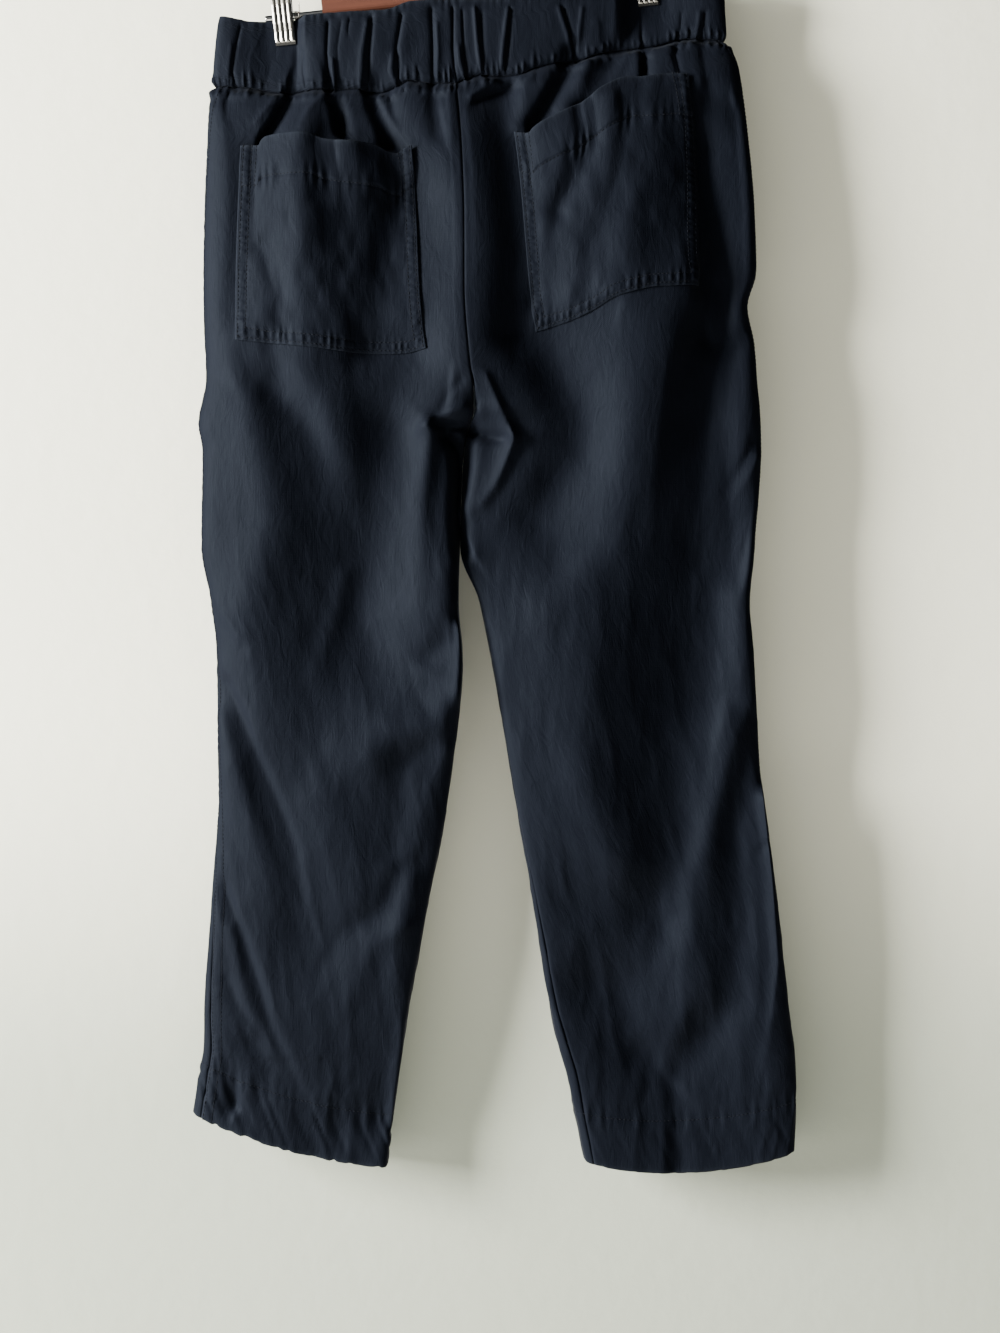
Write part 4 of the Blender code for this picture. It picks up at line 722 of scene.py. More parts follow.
twill = cloth_finish()
OUTWARDS = {("left", "back"): 1.0, ("right", "front"): 1.0, ("right", "back"): -1.0, ("left", "front"): -1.0}
PANEL_COLUMNS = {"back": 118, "front": 72}
CLOSE_ROWS = {1: 0.0013, 2: 0.0019, 18: 0.0022, 19: 0.0020}
PLAIN_ROWS = 0.0029
FRONT_IS_COARSER = 1.6
TUCKED_IN = 0.04
Cut = namedtuple("Cut", "width length area")
CRUMPLE_SEED = {"left": 11, "right": 23}

# Rows of puckers where a seam is sewn: their height and pitch, the distance of the row's middle from
# the cloth's edge, how far it reaches to each side, and the least size of any of them. A swelling
# runs beside an edge in the same way, and so does a groove, whose height is negative.
Puckers = namedtuple("Puckers", "height pitch place reach least", defaults=(0.08,))
Swell = namedtuple("Swell", "height place reach")
TOP_PUCKERS = Puckers(0.0014, 0.0060, 0.0070, 0.0040)
TOP_SWELL = Swell(0.0014, 0.009, 0.004)
HEM_PUCKERS = Puckers(0.0009, 0.0078, HEM_DEPTH, 0.0080)
HEM_GROOVE = Swell(-0.0005, HEM_DEPTH, 0.0011)
HEM_STEP = 0.0003
HEM_TWIST = {"left": Puckers(0.0013, 0.0150, 0.020, 0.015), "right": Puckers(0.0004, 0.0150, 0.020, 0.015)}
TWIST_LEAN = 0.45
TWIST_REACH = 0.008
FELLED = (0.0015, 0.0075)
FELLED_STEP = 0.00045
FELLED_RIPPLE = 0.00022
CENTRE_FELLED = 0.0070
CENTRE_STEP = 0.00035
DRAWN_IN = {"side": Swell(-0.0010, 0.0, 0.0014), "inner": Swell(-0.0007, 0.0, 0.0009),
            "top": Swell(-0.0042, 0.0, 0.0042)}


def bell(value, place, width):
    """One at a place, and softly down to nothing beyond about twice the width."""
    return np.exp(-((value - place) / width) ** 2)


def dimples(x, pitch, least):
    """Small rounded bumps in a row along a seam, uneven in size and spacing."""
    uneven_pace = 1.3 * np.sin(math.tau * x / 0.041) + 0.8 * np.sin(math.tau * x / 0.0173)
    wave = np.sin(math.tau * x / pitch + uneven_pace)
    size = 0.55 + 0.3 * np.sin(math.tau * x / 0.029 + 2.0) + 0.3 * np.sin(math.tau * x / 0.0127 + 0.7)
    return (np.maximum(wave, -0.35) + 0.1) * np.maximum(size, least)


def puckered(x, away, seam):
    return seam.height * dimples(x, seam.pitch, seam.least) * bell(away, seam.place, seam.reach)


def swollen(away, swell):
    return swell.height * bell(away, swell.place, swell.reach)


def ripples(x, pitch):
    """Small uneven ripples along a seam."""
    wave = np.sin(math.tau * x / pitch + 1.9 * np.sin(math.tau * x / 0.033))
    return wave * (0.62 + 0.38 * np.sin(math.tau * x / 0.047 + 1.0))


def make_panel(side, face):
    """One panel's outer face, its normals, and its points' distances from its edges."""
    coarser = 1.0 if face == "back" else FRONT_IS_COARSER
    rows = rows_between(side, SEAM_ROW, FOOT_ROW, lambda number: CLOSE_ROWS.get(number, PLAIN_ROWS) * coarser)
    rows = np.vstack(([SEAM_ROW - TUCKED_IN], [SEAM_ROW - TUCKED_IN / 2.0], rows))
    plain = cloth(side, face, columns(side, PANEL_COLUMNS[face], rows), rows)
    normal = grid_normals(plain, OUTWARDS[side, face])
    away = {"inner": distance_from(plain, 1), "side": distance_from(plain, 1, True),
            "top": distance_from(plain, 0), "hem": distance_from(plain, 0, True)}
    x, middle = plain[..., 0], [plain.shape[1] // 2]
    u = away["inner"] - away["inner"][:, middle]
    v = np.broadcast_to(away["top"][:, middle], u.shape)

    # The crumpling begins on the seat and grows down the leg.
    lift = -crumpled(u, v, CRUMPLE_SEED[side]) * fade(away["top"], 0.40, 0.12)
    lift *= 0.35 + 0.65 * fade(away["top"], 0.52, 0.20) + 0.6 * fade(away["top"], 0.80, 0.55)
    lift += puckered(x, away["top"], TOP_PUCKERS)
    lift += swollen(away["top"], TOP_SWELL)
    lift += puckered(x, away["hem"], HEM_PUCKERS)
    twist = HEM_TWIST[side]
    twisted = twist.height * dimples(x + TWIST_LEAN * away["hem"], twist.pitch, twist.least)
    lift -= twisted * bell(away["hem"], twist.place, twist.reach)
    lift += swollen(away["hem"], HEM_GROOVE)
    lift += HEM_STEP * fade(away["hem"], HEM_DEPTH - 0.001, HEM_DEPTH)
    if face == "back":
        felled = fade(away["side"], FELLED[1], FELLED[1] + 0.002)
        felled = felled * fade(away["side"], FELLED[0], FELLED[0] - 0.001)
        lift += felled * (FELLED_STEP + FELLED_RIPPLE * ripples(plain[..., 2], 0.0085))
    if (side, face) == ("left", "back"):
        torso = fade(rows, CROTCH_ROW - 0.4, CROTCH_ROW)
        lift += CENTRE_STEP * torso * fade(away["inner"], CENTRE_FELLED, CENTRE_FELLED + 0.002)

    # The cloth is drawn in at its sewn edges, and its twisted hem runs up and down a little.
    points = plain + normal * lift[..., None]
    for edge, groove in DRAWN_IN.items():
        points = points + normal * swollen(away[edge], groove)[..., None]
    points[..., 2] += twisted * np.exp(-away["hem"] / TWIST_REACH)
    return points, grid_normals(points, OUTWARDS[side, face]), away


panels = {}
for side in ("left", "right"):
    for face in ("back", "front"):
        points, normal, away = panels[side, face] = make_panel(side, face)
        doubled = fade(away["hem"], HEM_DEPTH - 0.001, HEM_DEPTH)[..., None]
        wall = PANEL_WALL + (HEM_WALL - PANEL_WALL) * doubled
        worn = 0.5 * np.exp(-away["hem"] / 0.0016) + 0.22 * bell(away["side"], 0.0, 0.003)
        name = "panel_" + face + "_" + side
        panel = add_piece(name, shell_mesh(name, points, normal, wall, worn, top_round=0.0), twill)
        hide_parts(face + "_" + side)


# The waistband: one wide strip folded over elastic, so the cloth stands in broad flat lobes between
# deep narrow creases. Its foot is stitched to the gathered panels, and its fold is a little worn.
BAND_WALL = 0.0024
BAND_ROWS = 34
BAND_ENDS = 0.997
BAND_COLUMNS = {"back": 300, "front": 150}
BAND_AROUND = (("left", "back", -1), ("right", "back", 1), ("right", "front", -1), ("left", "front", 1))
BAND_CROWN = 0.0012
BAND_EDGE = 0.006
BAND_THINNER = Swell(0.0012, 0.0, 0.004)
BAND_TUCK = Swell(-0.0016, 0.0, 0.0020)
WRAP = 6

rows = np.linspace(0.0, BAND_ENDS, BAND_ROWS)[:, None]
plain = np.concatenate([cloth(side, face, columns(side, BAND_COLUMNS[face], rows), rows)[:, ::way][:, :-1]
                        for side, face, way in BAND_AROUND], axis=1)
normal = grid_normals(np.concatenate((plain[:, -WRAP:], plain, plain[:, :WRAP]), axis=1), -1.0)[:, WRAP:-WRAP]
top, foot, x = distance_from(plain, 0), distance_from(plain, 0, True), plain[..., 0]
beside_clip = np.abs(np.abs(x - MIDDLE_X) - CLIP_ACROSS)
free = 1.0 - fade(beside_clip, PINCH_REACH, PINCH_REACH + PINCH_FADE["right"]) * fade(rows, *PINCH_ROWS)
lift = BAND_CROWN * (1.0 - np.exp(-top / BAND_EDGE)) * (1.0 - np.exp(-foot / BAND_EDGE))
reach = 0.0046 + 0.0022 * np.sin(math.tau * x / 0.031 + 1.0)
lift += puckered(x + 0.05 * foot, foot, Puckers(0.0012, 0.0051, 0.0030, reach))
lift += 0.0003 * ripples(x + 0.002, 0.0067) * np.exp(-top / BAND_EDGE)
lift += 0.0005 * uneven(distance_from(plain, 1), top, 0.012, 0.030, 5)
points = plain + normal * (lift * free + swollen(foot, BAND_TUCK))[..., None]
wall = BAND_WALL - swollen(foot, BAND_THINNER)[..., None]
worn = 0.55 * np.exp(-top / 0.0013)
mesh = shell_mesh("waistband_folded", points, normal, wall, worn, foot_round=0.0, ring=True)
waistband = add_piece("waistband_folded", mesh, twill)
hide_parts("waistband")


# The two patch pockets, cut from the same twill. Their sides and feet are turned in and sewn down
# with two rows, their mouths are hemmed and fall open a little.
POCKET_WALL = 0.0013
POCKET_GAP = 0.0003
POCKET_STANDS_OUT = 0.0006
POCKET_THINNER = Swell(0.0008, 0.0, 0.004)
POCKET_SINKS = 0.0002
POCKET_COLUMNS = 150
POCKET_ROWS = 165
CALMED = 300
BRIDGED = 500
MOUTH_HEM = 0.030
MOUTH_GROOVE = Swell(-0.0006, MOUTH_HEM, 0.0012)
SIDE_ROWS = (0.0022, 0.0086)
SIDE_GROOVES = [Swell(-0.0004, row, 0.0010) for row in SIDE_ROWS]
PRESSED_EDGE = Swell(-0.0004, 0.0, 0.0009)
FOOT_PUCKERS = Puckers(0.0009, 0.0060, 0.0055, 0.0055, 0.6)
SIDE_PUCKERS = Puckers(0.0007, 0.0063, 0.0054, 0.0040, 0.6)
BETWEEN_MOUTH_ROWS = 0.0295
BETWEEN_FOOT_ROWS = 0.0460

Pocket = namedtuple("Pocket", "mouth_inner mouth_outer foot_inner foot_outer gape crown seed")
POCKETS = {
    "left": Pocket(0.191, 0.860, 0.155, 0.870, 0.0050, 0.0030, 31),
    "right": Pocket(0.188, 0.818, 0.230, 0.787, 0.0036, 0.0022, 47),
}
# How far the mouth and the foot rise above the straight, at shares of the way from the inner edge.
MOUTH_RISE = {
    "left": ((0.0, 0.0), (0.05, -0.0022), (0.087, -0.0045), (0.15, -0.0038), (0.225, -0.0012),
             (0.36, -0.0002), (0.52, 0.0008), (0.60, 0.0038), (0.73, 0.0040), (0.84, 0.0030),
             (0.875, 0.0006), (0.89, -0.0020), (1.0, -0.0020)),
    "right": ((0.0, 0.0), (0.09, -0.0040), (0.105, -0.0028), (0.27, 0.0017), (0.35, 0.0038), (0.43, 0.0062),
              (0.545, 0.0134), (0.63, 0.0170), (0.755, 0.0128), (0.91, 0.0087), (1.0, 0.0026)),
}
FOOT_RISE = {
    "left": ((0.0, 0.0053), (0.05, 0.0030), (0.10, 0.0003), (0.21, -0.0016), (0.39, -0.0016),
             (0.60, 0.0013), (0.82, 0.0019), (1.0, 0.0010)),
    "right": ((0.0, 0.0), (0.17, 0.0), (0.35, 0.0033), (0.50, 0.0090), (0.68, 0.0080),
              (0.866, 0.0026), (1.0, -0.0020)),
}


def thinner_at(edge):
    """How much thinner the pocket lies at its sewn edges, where it is pressed flat."""
    return swollen(edge, POCKET_THINNER)[..., None]


def pocket_points(side, clearance):
    """The pocket's outer face, its normals, and its points' distances from its edges."""
    pocket = POCKETS[side]
    across = np.linspace(0.0, 1.0, POCKET_COLUMNS)[None, :]
    down = np.linspace(0.0, 1.0, POCKET_ROWS)[:, None]
    mouth_rise = through(*zip(*MOUTH_RISE[side]), across) / BETWEEN_MOUTH_ROWS
    foot_rise = through(*zip(*FOOT_RISE[side]), across) / BETWEEN_FOOT_ROWS
    row = (POCKET_TOP_ROW + (POCKET_BOTTOM_ROW - POCKET_TOP_ROW) * down
           - mouth_rise * (1.0 - down) ** 1.6 - foot_rise * down ** 2)
    inner = pocket.mouth_inner + (pocket.foot_inner - pocket.mouth_inner) * down
    outer = pocket.mouth_outer + (pocket.foot_outer - pocket.mouth_outer) * down
    under = cloth(side, "back", inner + (outer - inner) * across, row, gathered=False)
    normal = grid_normals(under, OUTWARDS[side, "back"])
    calm = soft(soft(normal, CALMED), CALMED, axis=0)
    calm /= np.linalg.norm(calm, axis=-1, keepdims=True)
    away = {"inner": distance_from(under, 1), "side": distance_from(under, 1, True),
            "mouth": distance_from(under, 0), "foot": distance_from(under, 0, True)}
    beside = away["beside"] = np.minimum(away["inner"], away["side"])
    edge = away["edge"] = np.minimum(beside, away["foot"])
    # The pocket spans the hollows of the cloth under it, and stands away where it isn't sewn down.
    bridged = np.maximum(under[..., 1] - soft(under, BRIDGED)[..., 1], 0.0)
    belly = 1.0 - np.exp(-(np.maximum(beside - 0.009, 0.0) / 0.024) ** 1.5)

    lift = pocket.gape * belly * (1.0 - down) ** 2.4 + bridged * belly * fade(down, 0.05, 0.45)
    lift += pocket.crown * belly * np.sin(np.pi * np.minimum(down * 1.1, 1.0))
    lift += 0.0009 * uneven(away["inner"], away["mouth"], 0.017, 0.034, pocket.seed) * belly
    lift += 0.0005 * uneven(away["inner"], away["mouth"], 0.008, 0.015, pocket.seed + 1)
    lift += puckered(under[..., 0], away["foot"], FOOT_PUCKERS)
    lift += puckered(under[..., 2], beside, SIDE_PUCKERS)
    lift += 0.0005 * fade(away["mouth"], MOUTH_HEM - 0.0008, MOUTH_HEM + 0.0008)
    lift += 0.0006 * ripples(under[..., 0] + 0.003, 0.0083) * bell(away["mouth"], MOUTH_HEM, 0.008)
    lift += swollen(away["mouth"], MOUTH_GROOVE)
    for groove in SIDE_GROOVES:
        lift += swollen(edge, groove)
    lift = np.maximum(lift, -POCKET_SINKS) + swollen(edge, PRESSED_EDGE)
    points = under + normal * (clearance - thinner_at(edge)) + calm * lift[..., None]
    return points, grid_normals(points, OUTWARDS[side, "back"]), away


pockets = {}
for side in POCKETS:
    points, normal, away = pockets[side] = pocket_points(side, POCKET_GAP + POCKET_WALL + POCKET_STANDS_OUT)
    wall = POCKET_WALL - thinner_at(away["edge"])
    worn = 0.7 * np.exp(-away["mouth"] / 0.0013) + 0.35 * np.exp(-away["edge"] / 0.0010)
    name = "pocket_" + side + "_sewn"
    pocket = add_piece(name, shell_mesh(name, points, normal, wall, worn), twill)
    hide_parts("pocket_" + side)
    "panel_back_" + side


# The topstitching, in a thread a little paler than the cloth: two rows round each pocket and down
# each side seam, one along the pocket mouths' hems and one along the hems of the legs.
STITCH_PITCH = 0.0031
STITCH_SIZE = (0.0024, 0.00060, 0.00052)
STITCH_LIFT = 0.0001
STITCH_VARIES = (0.85, 1.08)
SEAM_ROWS = (0.0022, 0.0090)
POCKET_BLOCK = 0.0125
THREAD_DARK = (0.0024, 0.0031, 0.0052, 1.0)
THREAD_LIGHT = (0.0062, 0.0076, 0.0112, 1.0)


def stitching_tree():
    """Stitches along lines: each lies along its line, flat on the cloth that the line lies on."""
    tree = bpy.data.node_groups.new("topstitching", "GeometryNodeTree")
    sockets = (("Lines", "Geometry"), ("Pitch", "Float"), ("Size", "Vector"), ("Thread", "Material"))
    for name, kind in sockets:
        tree.interface.new_socket(name, in_out="INPUT", socket_type="NodeSocket" + kind)
    tree.interface.new_socket("Stitches", in_out="OUTPUT", socket_type="NodeSocketGeometry")

    def add(kind, settings=(), **inputs):
        node = tree.nodes.new(kind)
        for name, value in dict(settings).items():
            setattr(node, name, value)
        for name, value in inputs.items():
            socket = node.inputs[name.replace("_", " ")]
            if isinstance(value, bpy.types.NodeSocket):
                tree.links.new(value, socket)
            else:
                socket.default_value = value
        return node

    given = add("NodeGroupInput").outputs
    curve = add("GeometryNodeMeshToCurve", Mesh=given["Lines"])
    places = add("GeometryNodeResampleCurve", {"mode": "LENGTH"},
                 Curve=curve.outputs[0], Length=given["Pitch"])
    ball = add("GeometryNodeMeshUVSphere", Segments=6, Rings=4, Radius=0.5)
    stitch = add("GeometryNodeTransform", Geometry=ball.outputs[0], Scale=given["Size"])
    tangent = add("GeometryNodeInputTangent")
    lie = add("GeometryNodeInputNamedAttribute", {"data_type": "FLOAT_VECTOR"}, Name="lie")
    along = add("FunctionNodeAlignRotationToVector", {"axis": "X"}, Vector=tangent.outputs[0])
    flat = add("FunctionNodeAlignRotationToVector", {"axis": "Z", "pivot_axis": "X"},
               Rotation=along.outputs[0], Vector=lie.outputs[0])
    uneven_size = add("FunctionNodeRandomValue", {"data_type": "FLOAT"}, Seed=7)
    for socket, value in zip(uneven_size.inputs[2:4], STITCH_VARIES):
        socket.default_value = value
    sewn = add("GeometryNodeInstanceOnPoints", Points=places.outputs[0], Instance=stitch.outputs[0],
               Rotation=flat.outputs[0], Scale=uneven_size.outputs[1])
    real = add("GeometryNodeRealizeInstances", Geometry=sewn.outputs[0])
    smooth = add("GeometryNodeSetShadeSmooth", Geometry=real.outputs[0])
    threaded = add("GeometryNodeSetMaterial", Geometry=smooth.outputs[0], Material=given["Thread"])
    out = add("NodeGroupOutput")
    tree.links.new(threaded.outputs[0], out.inputs[0])
    return tree


def thread_finish():
    """A twisted thread, dark like the cloth but a little paler."""
    material, paint, shader = new_finish("topstitch_thread", {
        "Specular IOR Level": 0.06, "Sheen Weight": 0.02})
    shade = paint.noise(paint.on_object(), (700.0, 700.0, 700.0), 1.0)
    feed(paint, shader, Base_Color=shade.blend(THREAD_DARK, THREAD_LIGHT), Roughness=0.62 + shade * 0.2)
    return material


def line_at(points, normal, away, distance, down, keep):
    """The line over a grid at one distance from an edge, with its normals, where keep allows it."""
    grids = [points, normal, away[..., None], keep[..., None]]
    if not down:
        grids = [grid.swapaxes(0, 1) for grid in grids]
    if grids[2][0, 0] > grids[2][0, -1]:
        grids = [grid[:, ::-1] for grid in grids]
    each = np.arange(len(grids[0]))
    after = np.clip((grids[2][..., 0] < distance).sum(axis=1), 1, grids[2].shape[1] - 1)
    place, lie, walked, kept = [(grid[each, after - 1], grid[each, after]) for grid in grids]
    t = (distance - walked[0]) / (walked[1] - walked[0])
    shown = kept[1][:, 0]
    return ((place[0] + (place[1] - place[0]) * t)[shown], (lie[0] + (lie[1] - lie[0]) * t)[shown])


def sew(name, lines, tree, thread):
    """One piece of stitches along its lines."""
    places = np.concatenate([line[0] + line[1] * STITCH_LIFT for line in lines])
    edges, start = [], 0
    for line in lines:
        edges += [(start + k, start + k + 1) for k in range(len(line[0]) - 1)]
        start += len(line[0])
    mesh = bpy.data.meshes.new(name)
    mesh.from_pydata(places.tolist(), edges, [])
    lie = mesh.attributes.new("lie", "FLOAT_VECTOR", "POINT")
    directions = np.concatenate([line[1] for line in lines])
    lie.data.foreach_set("vector", directions.astype(np.float32).reshape(-1))
    guide = bpy.data.objects.new(name + "_lines", mesh)
    bpy.context.scene.collection.objects.link(guide)
    modifier = guide.modifiers.new("topstitching", "NODES")
    modifier.node_group = tree
    inputs = {item.name: item.identifier for item in tree.interface.items_tree if item.in_out == "INPUT"}
    modifier[inputs["Pitch"]] = STITCH_PITCH
    modifier[inputs["Size"]] = STITCH_SIZE
    modifier[inputs["Thread"]] = thread
    evaluated = guide.evaluated_get(bpy.context.evaluated_depsgraph_get())
    stitches = bpy.data.meshes.new_from_object(evaluated)
    guide.modifiers.remove(modifier)
    bpy.data.objects.remove(guide)
    stitches.materials.clear()
    return add_piece(name, stitches, thread)


def pocket_lines(side):
    """Two rows round the sides and foot, one along the mouth's hem and one down each of its ends."""
    points, normal, away = pockets[side]
    lines = []
    for row in SIDE_ROWS:
        for edge in ("inner", "side"):
            lines.append(line_at(points, normal, away[edge], row, True, away["foot"] >= row))
        lines.append(line_at(points, normal, away["foot"], row, False, away["beside"] >= row))
    lines.append(line_at(points, normal, away["mouth"], MOUTH_HEM, False, away["beside"] >= SIDE_ROWS[0]))
    for edge in ("inner", "side"):
        lines.append(line_at(points, normal, away[edge], POCKET_BLOCK, True, away["mouth"] <= MOUTH_HEM))
    return lines


stitching = stitching_tree()
thread = thread_finish()
for side in ("left", "right"):
    sew("stitches_pocket_" + side, pocket_lines(side), stitching, thread)
    lines = []
    for face in ("back", "front"):
        points, normal, away = panels[side, face]
        everywhere = np.ones(away["hem"].shape, bool)
        lines.append(line_at(points, normal, away["hem"], HEM_DEPTH, False, everywhere))
        if face == "back":
            lines += [line_at(points, normal, away["side"], row, True, everywhere) for row in SEAM_ROWS]
    sew("stitches_leg_" + side, lines, stitching, thread)


# The hanger: a bar of stained and varnished wood with a plated steel rod in each end, a wire hook,
# and two pressed clips on the rods that grip the waistband. It is level in its own frame, tilted
# about the hook's inner top.
TILT = math.radians(6.2)
HOOK_TO_ROD = 0.105
ROD_RADIUS = 0.0025
ROD_SIDES = 32
ROD_FROM = 0.0818
ROD_END = 0.150
ROD_ROUNDING = 0.0009
ROD_RINGS = 12
HOOK_RADIUS = 0.00175
HOOK_SIDES = 24
HOOK_INNER_RADIUS = 0.018
HOOK_FOOT = -0.0787
HOOK_NECK = ((0.0, 0.0), (0.0, 0.016), (0.0022, 0.024), (0.0078, 0.033))
HOOK_BEND = (-42.0, 192.0)
CLIP_PLACE = 0.1365
COIL_RADIUS = 0.0034
COIL_WIRE = 0.00045
COIL_SIDES = 8
COIL_START = 0.0083
COIL_PITCH = 0.00105
COIL_TURNS = 4
COIL_TAIL = ((0.0002, 0.0020), (0.0004, 0.0060), (0.0007, 0.0115))
WOOD_DARK = (0.034, 0.009, 0.006, 1.0)
WOOD_LIGHT = (0.130, 0.048, 0.028, 1.0)
CHROME = (0.62, 0.62, 0.60, 1.0)
NICKEL = (0.34, 0.33, 0.30, 1.0)
TARNISHED = 0.6


def hung(places):
    """Places in the hanger's own frame, tilted with it."""
    x, y, z = np.asarray(places, float).T
    return np.stack([x * math.cos(TILT) - z * math.sin(TILT), y, x * math.sin(TILT) + z * math.cos(TILT)], -1)


def varnished_wood():
    """Reddish brown stain over long grain with short dark pores, under satin varnish."""
    material, paint, shader = new_finish("varnished_wood", {
        "Specular IOR Level": 0.4, "Coat Weight": 0.55, "Coat Roughness": 0.16})
    level = paint.node("Mapping", (), {"Vector": paint.on_object(), "Rotation": (0.0, TILT, 0.0)})
    grain = paint.noise(level, (7.0, 160.0, 190.0), 5.0, 0.6)
    pores = paint.noise(level, (55.0, 1500.0, 1500.0), 2.0)
    broad = paint.noise(level, (3.0, 34.0, 34.0), 2.0)
    tone = grain * 0.7 + broad * 0.5 - 0.15
    height = grain * 0.00006 + pores * 0.00005
    feed(paint, shader, Base_Color=tone.blend(WOOD_DARK, WOOD_LIGHT), Normal=height.bump(),
         Roughness=0.42 - grain * 0.10 + pores * 0.06)
    return material


def plated(name, colour, dull, scratches):
    """Plated steel: bright, with faint scratches along it and a little tarnish."""
    material, paint, shader = new_finish(name, {"Metallic": 1.0})
    where = paint.on_object()
    fine = paint.noise(where, (300.0, 300.0, 2600.0), 2.0)
    tarnish = paint.noise(where, (90.0, 90.0, 90.0), 3.0)
    darker = tuple(TARNISHED * c for c in colour[:3]) + (1.0,)
    feed(paint, shader, Base_Color=(tarnish * 0.5).blend(colour, darker), Normal=(fine * scratches).bump(),
         Roughness=dull + tarnish * 0.12)
    return material


def wire_mesh(name, route, radii, sides):
    """A round wire along a route of places, of one radius or a radius for each, with closed ends."""
    route = np.asarray(route, float)
    radii = np.broadcast_to(np.asarray(radii, float), len(route))
    along = np.gradient(route, axis=0)
    along /= np.linalg.norm(along, axis=1, keepdims=True)
    # The first ring starts in any direction across the wire, and each next one follows it.
    beside = np.cross(along[0], (0.31, 0.87, 0.38))
    rings = []
    for place, way, radius in zip(route, along, radii):
        beside = beside - way * (beside @ way)
        beside /= np.linalg.norm(beside)
        turns = np.linspace(0.0, math.tau, sides, endpoint=False)[:, None]
        rings.append(place + radius * (np.cos(turns) * beside + np.sin(turns) * np.cross(way, beside)))
    faces = [(r * sides + k, r * sides + (k + 1) % sides, (r + 1) * sides + (k + 1) % sides,
              (r + 1) * sides + k) for r in range(len(rings) - 1) for k in range(sides)]
    faces += [tuple(range(sides))[::-1], tuple(range((len(rings) - 1) * sides, len(rings) * sides))]
    mesh = bpy.data.meshes.new(name)
    mesh.from_pydata(np.concatenate(rings).tolist(), [], faces)
    mesh.shade_smooth()
    mesh.set_sharp_from_angle(angle=math.radians(50.0))
    return mesh


wood = varnished_wood()
chrome = plated("polished_chrome", CHROME, 0.07, 0.0000004)
nickel = plated("bright_nickel", NICKEL, 0.20, 0.0000010)
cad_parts["hanger_bar"].material_slots[0].material = wood

turned = np.linspace(0.0, math.pi / 2.0, 6)[1:]
lengths = np.concatenate((np.linspace(ROD_FROM, ROD_END - ROD_ROUNDING, ROD_RINGS),
                          ROD_END - ROD_ROUNDING * (1.0 - np.sin(turned))))
radii = np.concatenate((np.full(ROD_RINGS, ROD_RADIUS), ROD_RADIUS - ROD_ROUNDING * (1.0 - np.cos(turned))))
for side, way in (("left", -1.0), ("right", 1.0)):
    route = hung([(way * length, 0.0, -HOOK_TO_ROD) for length in lengths])
    mesh = wire_mesh("rod_" + side, route, radii, ROD_SIDES)
    rod = add_piece("rod_" + side + "_round", mesh, chrome)
    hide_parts("rod_" + side)

stem = np.array(HOOK_NECK) + (0.0, HOOK_FOOT)
arc = np.radians(np.linspace(*HOOK_BEND, 61))
ring = HOOK_INNER_RADIUS + HOOK_RADIUS
bend = np.stack([ring * np.cos(arc), ring * np.sin(arc) - HOOK_INNER_RADIUS], -1)
# The neck runs from the straight stem into the bend in one smooth curve.
coarse = np.concatenate((stem, bend[::6]))
walked = np.concatenate(([0.0], np.cumsum(np.linalg.norm(np.diff(coarse, axis=0), axis=1))))
fine = np.linspace(0.0, walked[len(stem)], 24)[:-1]
neck = np.stack([through(walked, coarse[:, 0], fine), through(walked, coarse[:, 1], fine)], -1)
route = [(x, 0.0, z) for x, z in np.concatenate((neck, bend))]
mesh = wire_mesh("hook_wire", hung(route), HOOK_RADIUS, HOOK_SIDES)
hook = add_piece("hook_wire", mesh, chrome)
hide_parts("hook")

for side, way in (("left", -1.0), ("right", 1.0)):
    for jaw in ("back", "front"):
        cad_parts["clip_" + side + "_" + jaw].material_slots[0].material = nickel
    turns = np.linspace(0.0, COIL_TURNS, COIL_TURNS * 24 + 1)
    route = [(way * CLIP_PLACE + COIL_START + turn * COIL_PITCH, COIL_RADIUS * math.cos(turn * math.tau),
              COIL_RADIUS * math.sin(turn * math.tau) - HOOK_TO_ROD) for turn in turns]
    x, y, z = route[-1]
    route += [(x, y + out, z + up) for out, up in COIL_TAIL]
    mesh = wire_mesh("clip_" + side + "_coil", hung(route), COIL_WIRE, COIL_SIDES)
    spring = add_piece("clip_" + side + "_coil", mesh, nickel)
    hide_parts("clip_" + side + "_spring")


# The wall behind, pale, with painted shade that darkens it towards the floor, and a floor below it, with
# daylight from a window at the left.
# Neither is part of the object. From behind the wall it isn't seen.
WALL_Y = 0.028
WALL_REACH = 3.0
WALL_TOP = 1.6
FLOOR_Z = -1.34
PAINT_HIGH = (0.865, 0.87, 0.725, 1.0)
# Painted shade: the colour that the wall darkens to towards the floor, and the heights over which it darkens.
SHADED_LOW = (0.44, 0.475, 0.39, 1.0)
PAINTED_SHADE_SPAN = (-0.62, -0.97)
FLOOR_PAINT = (0.70, 0.69, 0.66, 1.0)

backdrop = bpy.data.collections.new("backdrop")
bpy.context.scene.collection.children.link(backdrop)


def plane(name, corners, material):
    mesh = bpy.data.meshes.new(name)
    mesh.from_pydata(corners, [], [(0, 1, 2, 3)])
    mesh.materials.append(material)
    item = bpy.data.objects.new(name, mesh)
    backdrop.objects.link(item)


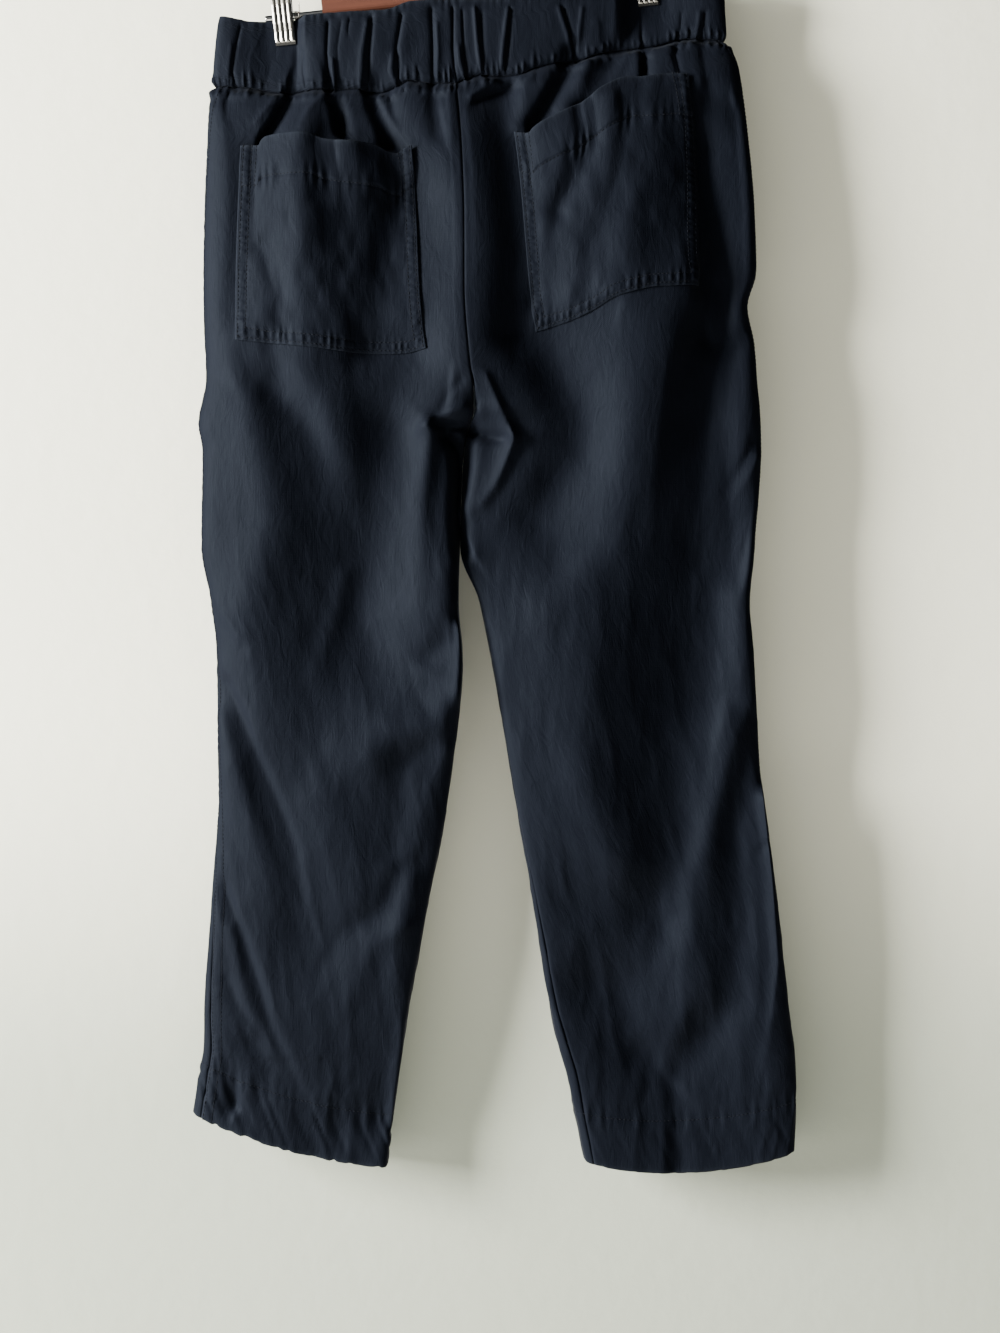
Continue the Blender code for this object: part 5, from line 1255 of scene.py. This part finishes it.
plaster, paint, shader = new_finish("plaster", {"Roughness": 0.9, "Specular IOR Level": 0.1})
where = paint.on_object()
grain = paint.noise(where, (60.0, 60.0, 60.0), 4.0)
# Painted shade: the wall's colour darkens towards the floor, standing in for the light that falls off low
# down.
height = paint.node("SeparateXYZ", (), {"Vector": where}, "Z")
painted_shade = paint.node("MapRange", {"interpolation_type": "SMOOTHSTEP"}, {
    "Value": height, "From Min": PAINTED_SHADE_SPAN[0], "From Max": PAINTED_SHADE_SPAN[1]})
feed(paint, shader, Base_Color=painted_shade.blend(PAINT_HIGH, SHADED_LOW), Normal=(grain * 0.0004).bump())
from_behind = paint.node("NewGeometry", (), (), "Backfacing")
seen = paint.node("LightPath", (), (), "Is Camera Ray") * (1.0 - from_behind)
clear = paint.node("BsdfTransparent")
front_only = paint.node("MixShader", (), {0: seen, 1: clear, 2: Finish(paint.tree, shader.outputs[0])})
paint.tree.links.new(front_only.socket, paint.tree.nodes["Material Output"].inputs["Surface"])
ground, paint, shader = new_finish("floor_paint", {"Base Color": FLOOR_PAINT, "Roughness": 0.8})
ends = [(-WALL_REACH, WALL_Y), (WALL_REACH, WALL_Y)]
plane("wall", [(x, y, FLOOR_Z) for x, y in ends] + [(x, y, WALL_TOP) for x, y in ends[::-1]], plaster)
plane("floor", [(-WALL_REACH, -WALL_REACH, FLOOR_Z), (WALL_REACH, -WALL_REACH, FLOOR_Z),
                (WALL_REACH, WALL_REACH, FLOOR_Z), (-WALL_REACH, WALL_REACH, FLOOR_Z)], ground)

Lamp = namedtuple("Lamp", "name place aim size power colour lights_only", defaults=(None,))
LAMPS = (
    Lamp("window", (-2.42, -0.99, -0.06), (0.05, 0.0, -0.60), (0.73, 1.36), 489.0, (1.0, 0.98, 0.94)),
    Lamp("room", (-0.9, -2.2, 0.6), (0.0, 0.0, -0.6), (2.0, 2.0), 3.0, (0.95, 0.97, 1.0)),
    Lamp("on_wall", (1.9, -1.9, 0.3), (0.0, 0.0, -0.5), (2.6, 2.6), 18.0, (1.0, 0.97, 0.86), backdrop),
    Lamp("behind", (0.0, 1.6, 0.5), (0.0, 0.0, -0.6), (1.6, 1.6), 45.0, (1.0, 1.0, 1.0)),
)
ROOM_COLOUR = (0.86, 0.87, 0.86, 1.0)
ROOM_LIGHT = 0.05

for lamp in LAMPS:
    light = bpy.data.lights.new(lamp.name, "AREA")
    light.shape = "RECTANGLE"
    light.size, light.size_y = lamp.size
    light.energy, light.color = lamp.power, lamp.colour
    item = bpy.data.objects.new(lamp.name, light)
    item.location = lamp.place
    item.rotation_euler = (Vector(lamp.aim) - Vector(lamp.place)).to_track_quat("-Z", "Y").to_euler()
    bpy.context.scene.collection.objects.link(item)
    if lamp.lights_only:
        item.light_linking.receiver_collection = lamp.lights_only

world = bpy.data.worlds.new("room_light")
world.use_nodes = True
world.node_tree.nodes["Background"].inputs["Color"].default_value = ROOM_COLOUR
world.node_tree.nodes["Background"].inputs["Strength"].default_value = ROOM_LIGHT
bpy.context.scene.world = world

# The camera looks level and straight at the garment's back.
CAMERA_PLACE = (0.0383, -1.6, -0.6061)
CAMERA_LENS = 57.6

camera = bpy.data.cameras.new("camera")
camera.sensor_width = 36.0
camera.lens = CAMERA_LENS
view = bpy.data.objects.new("camera", camera)
view.location = CAMERA_PLACE
view.rotation_euler = (math.pi / 2.0, 0.0, 0.0)
bpy.context.scene.collection.objects.link(view)
bpy.context.scene.camera = view
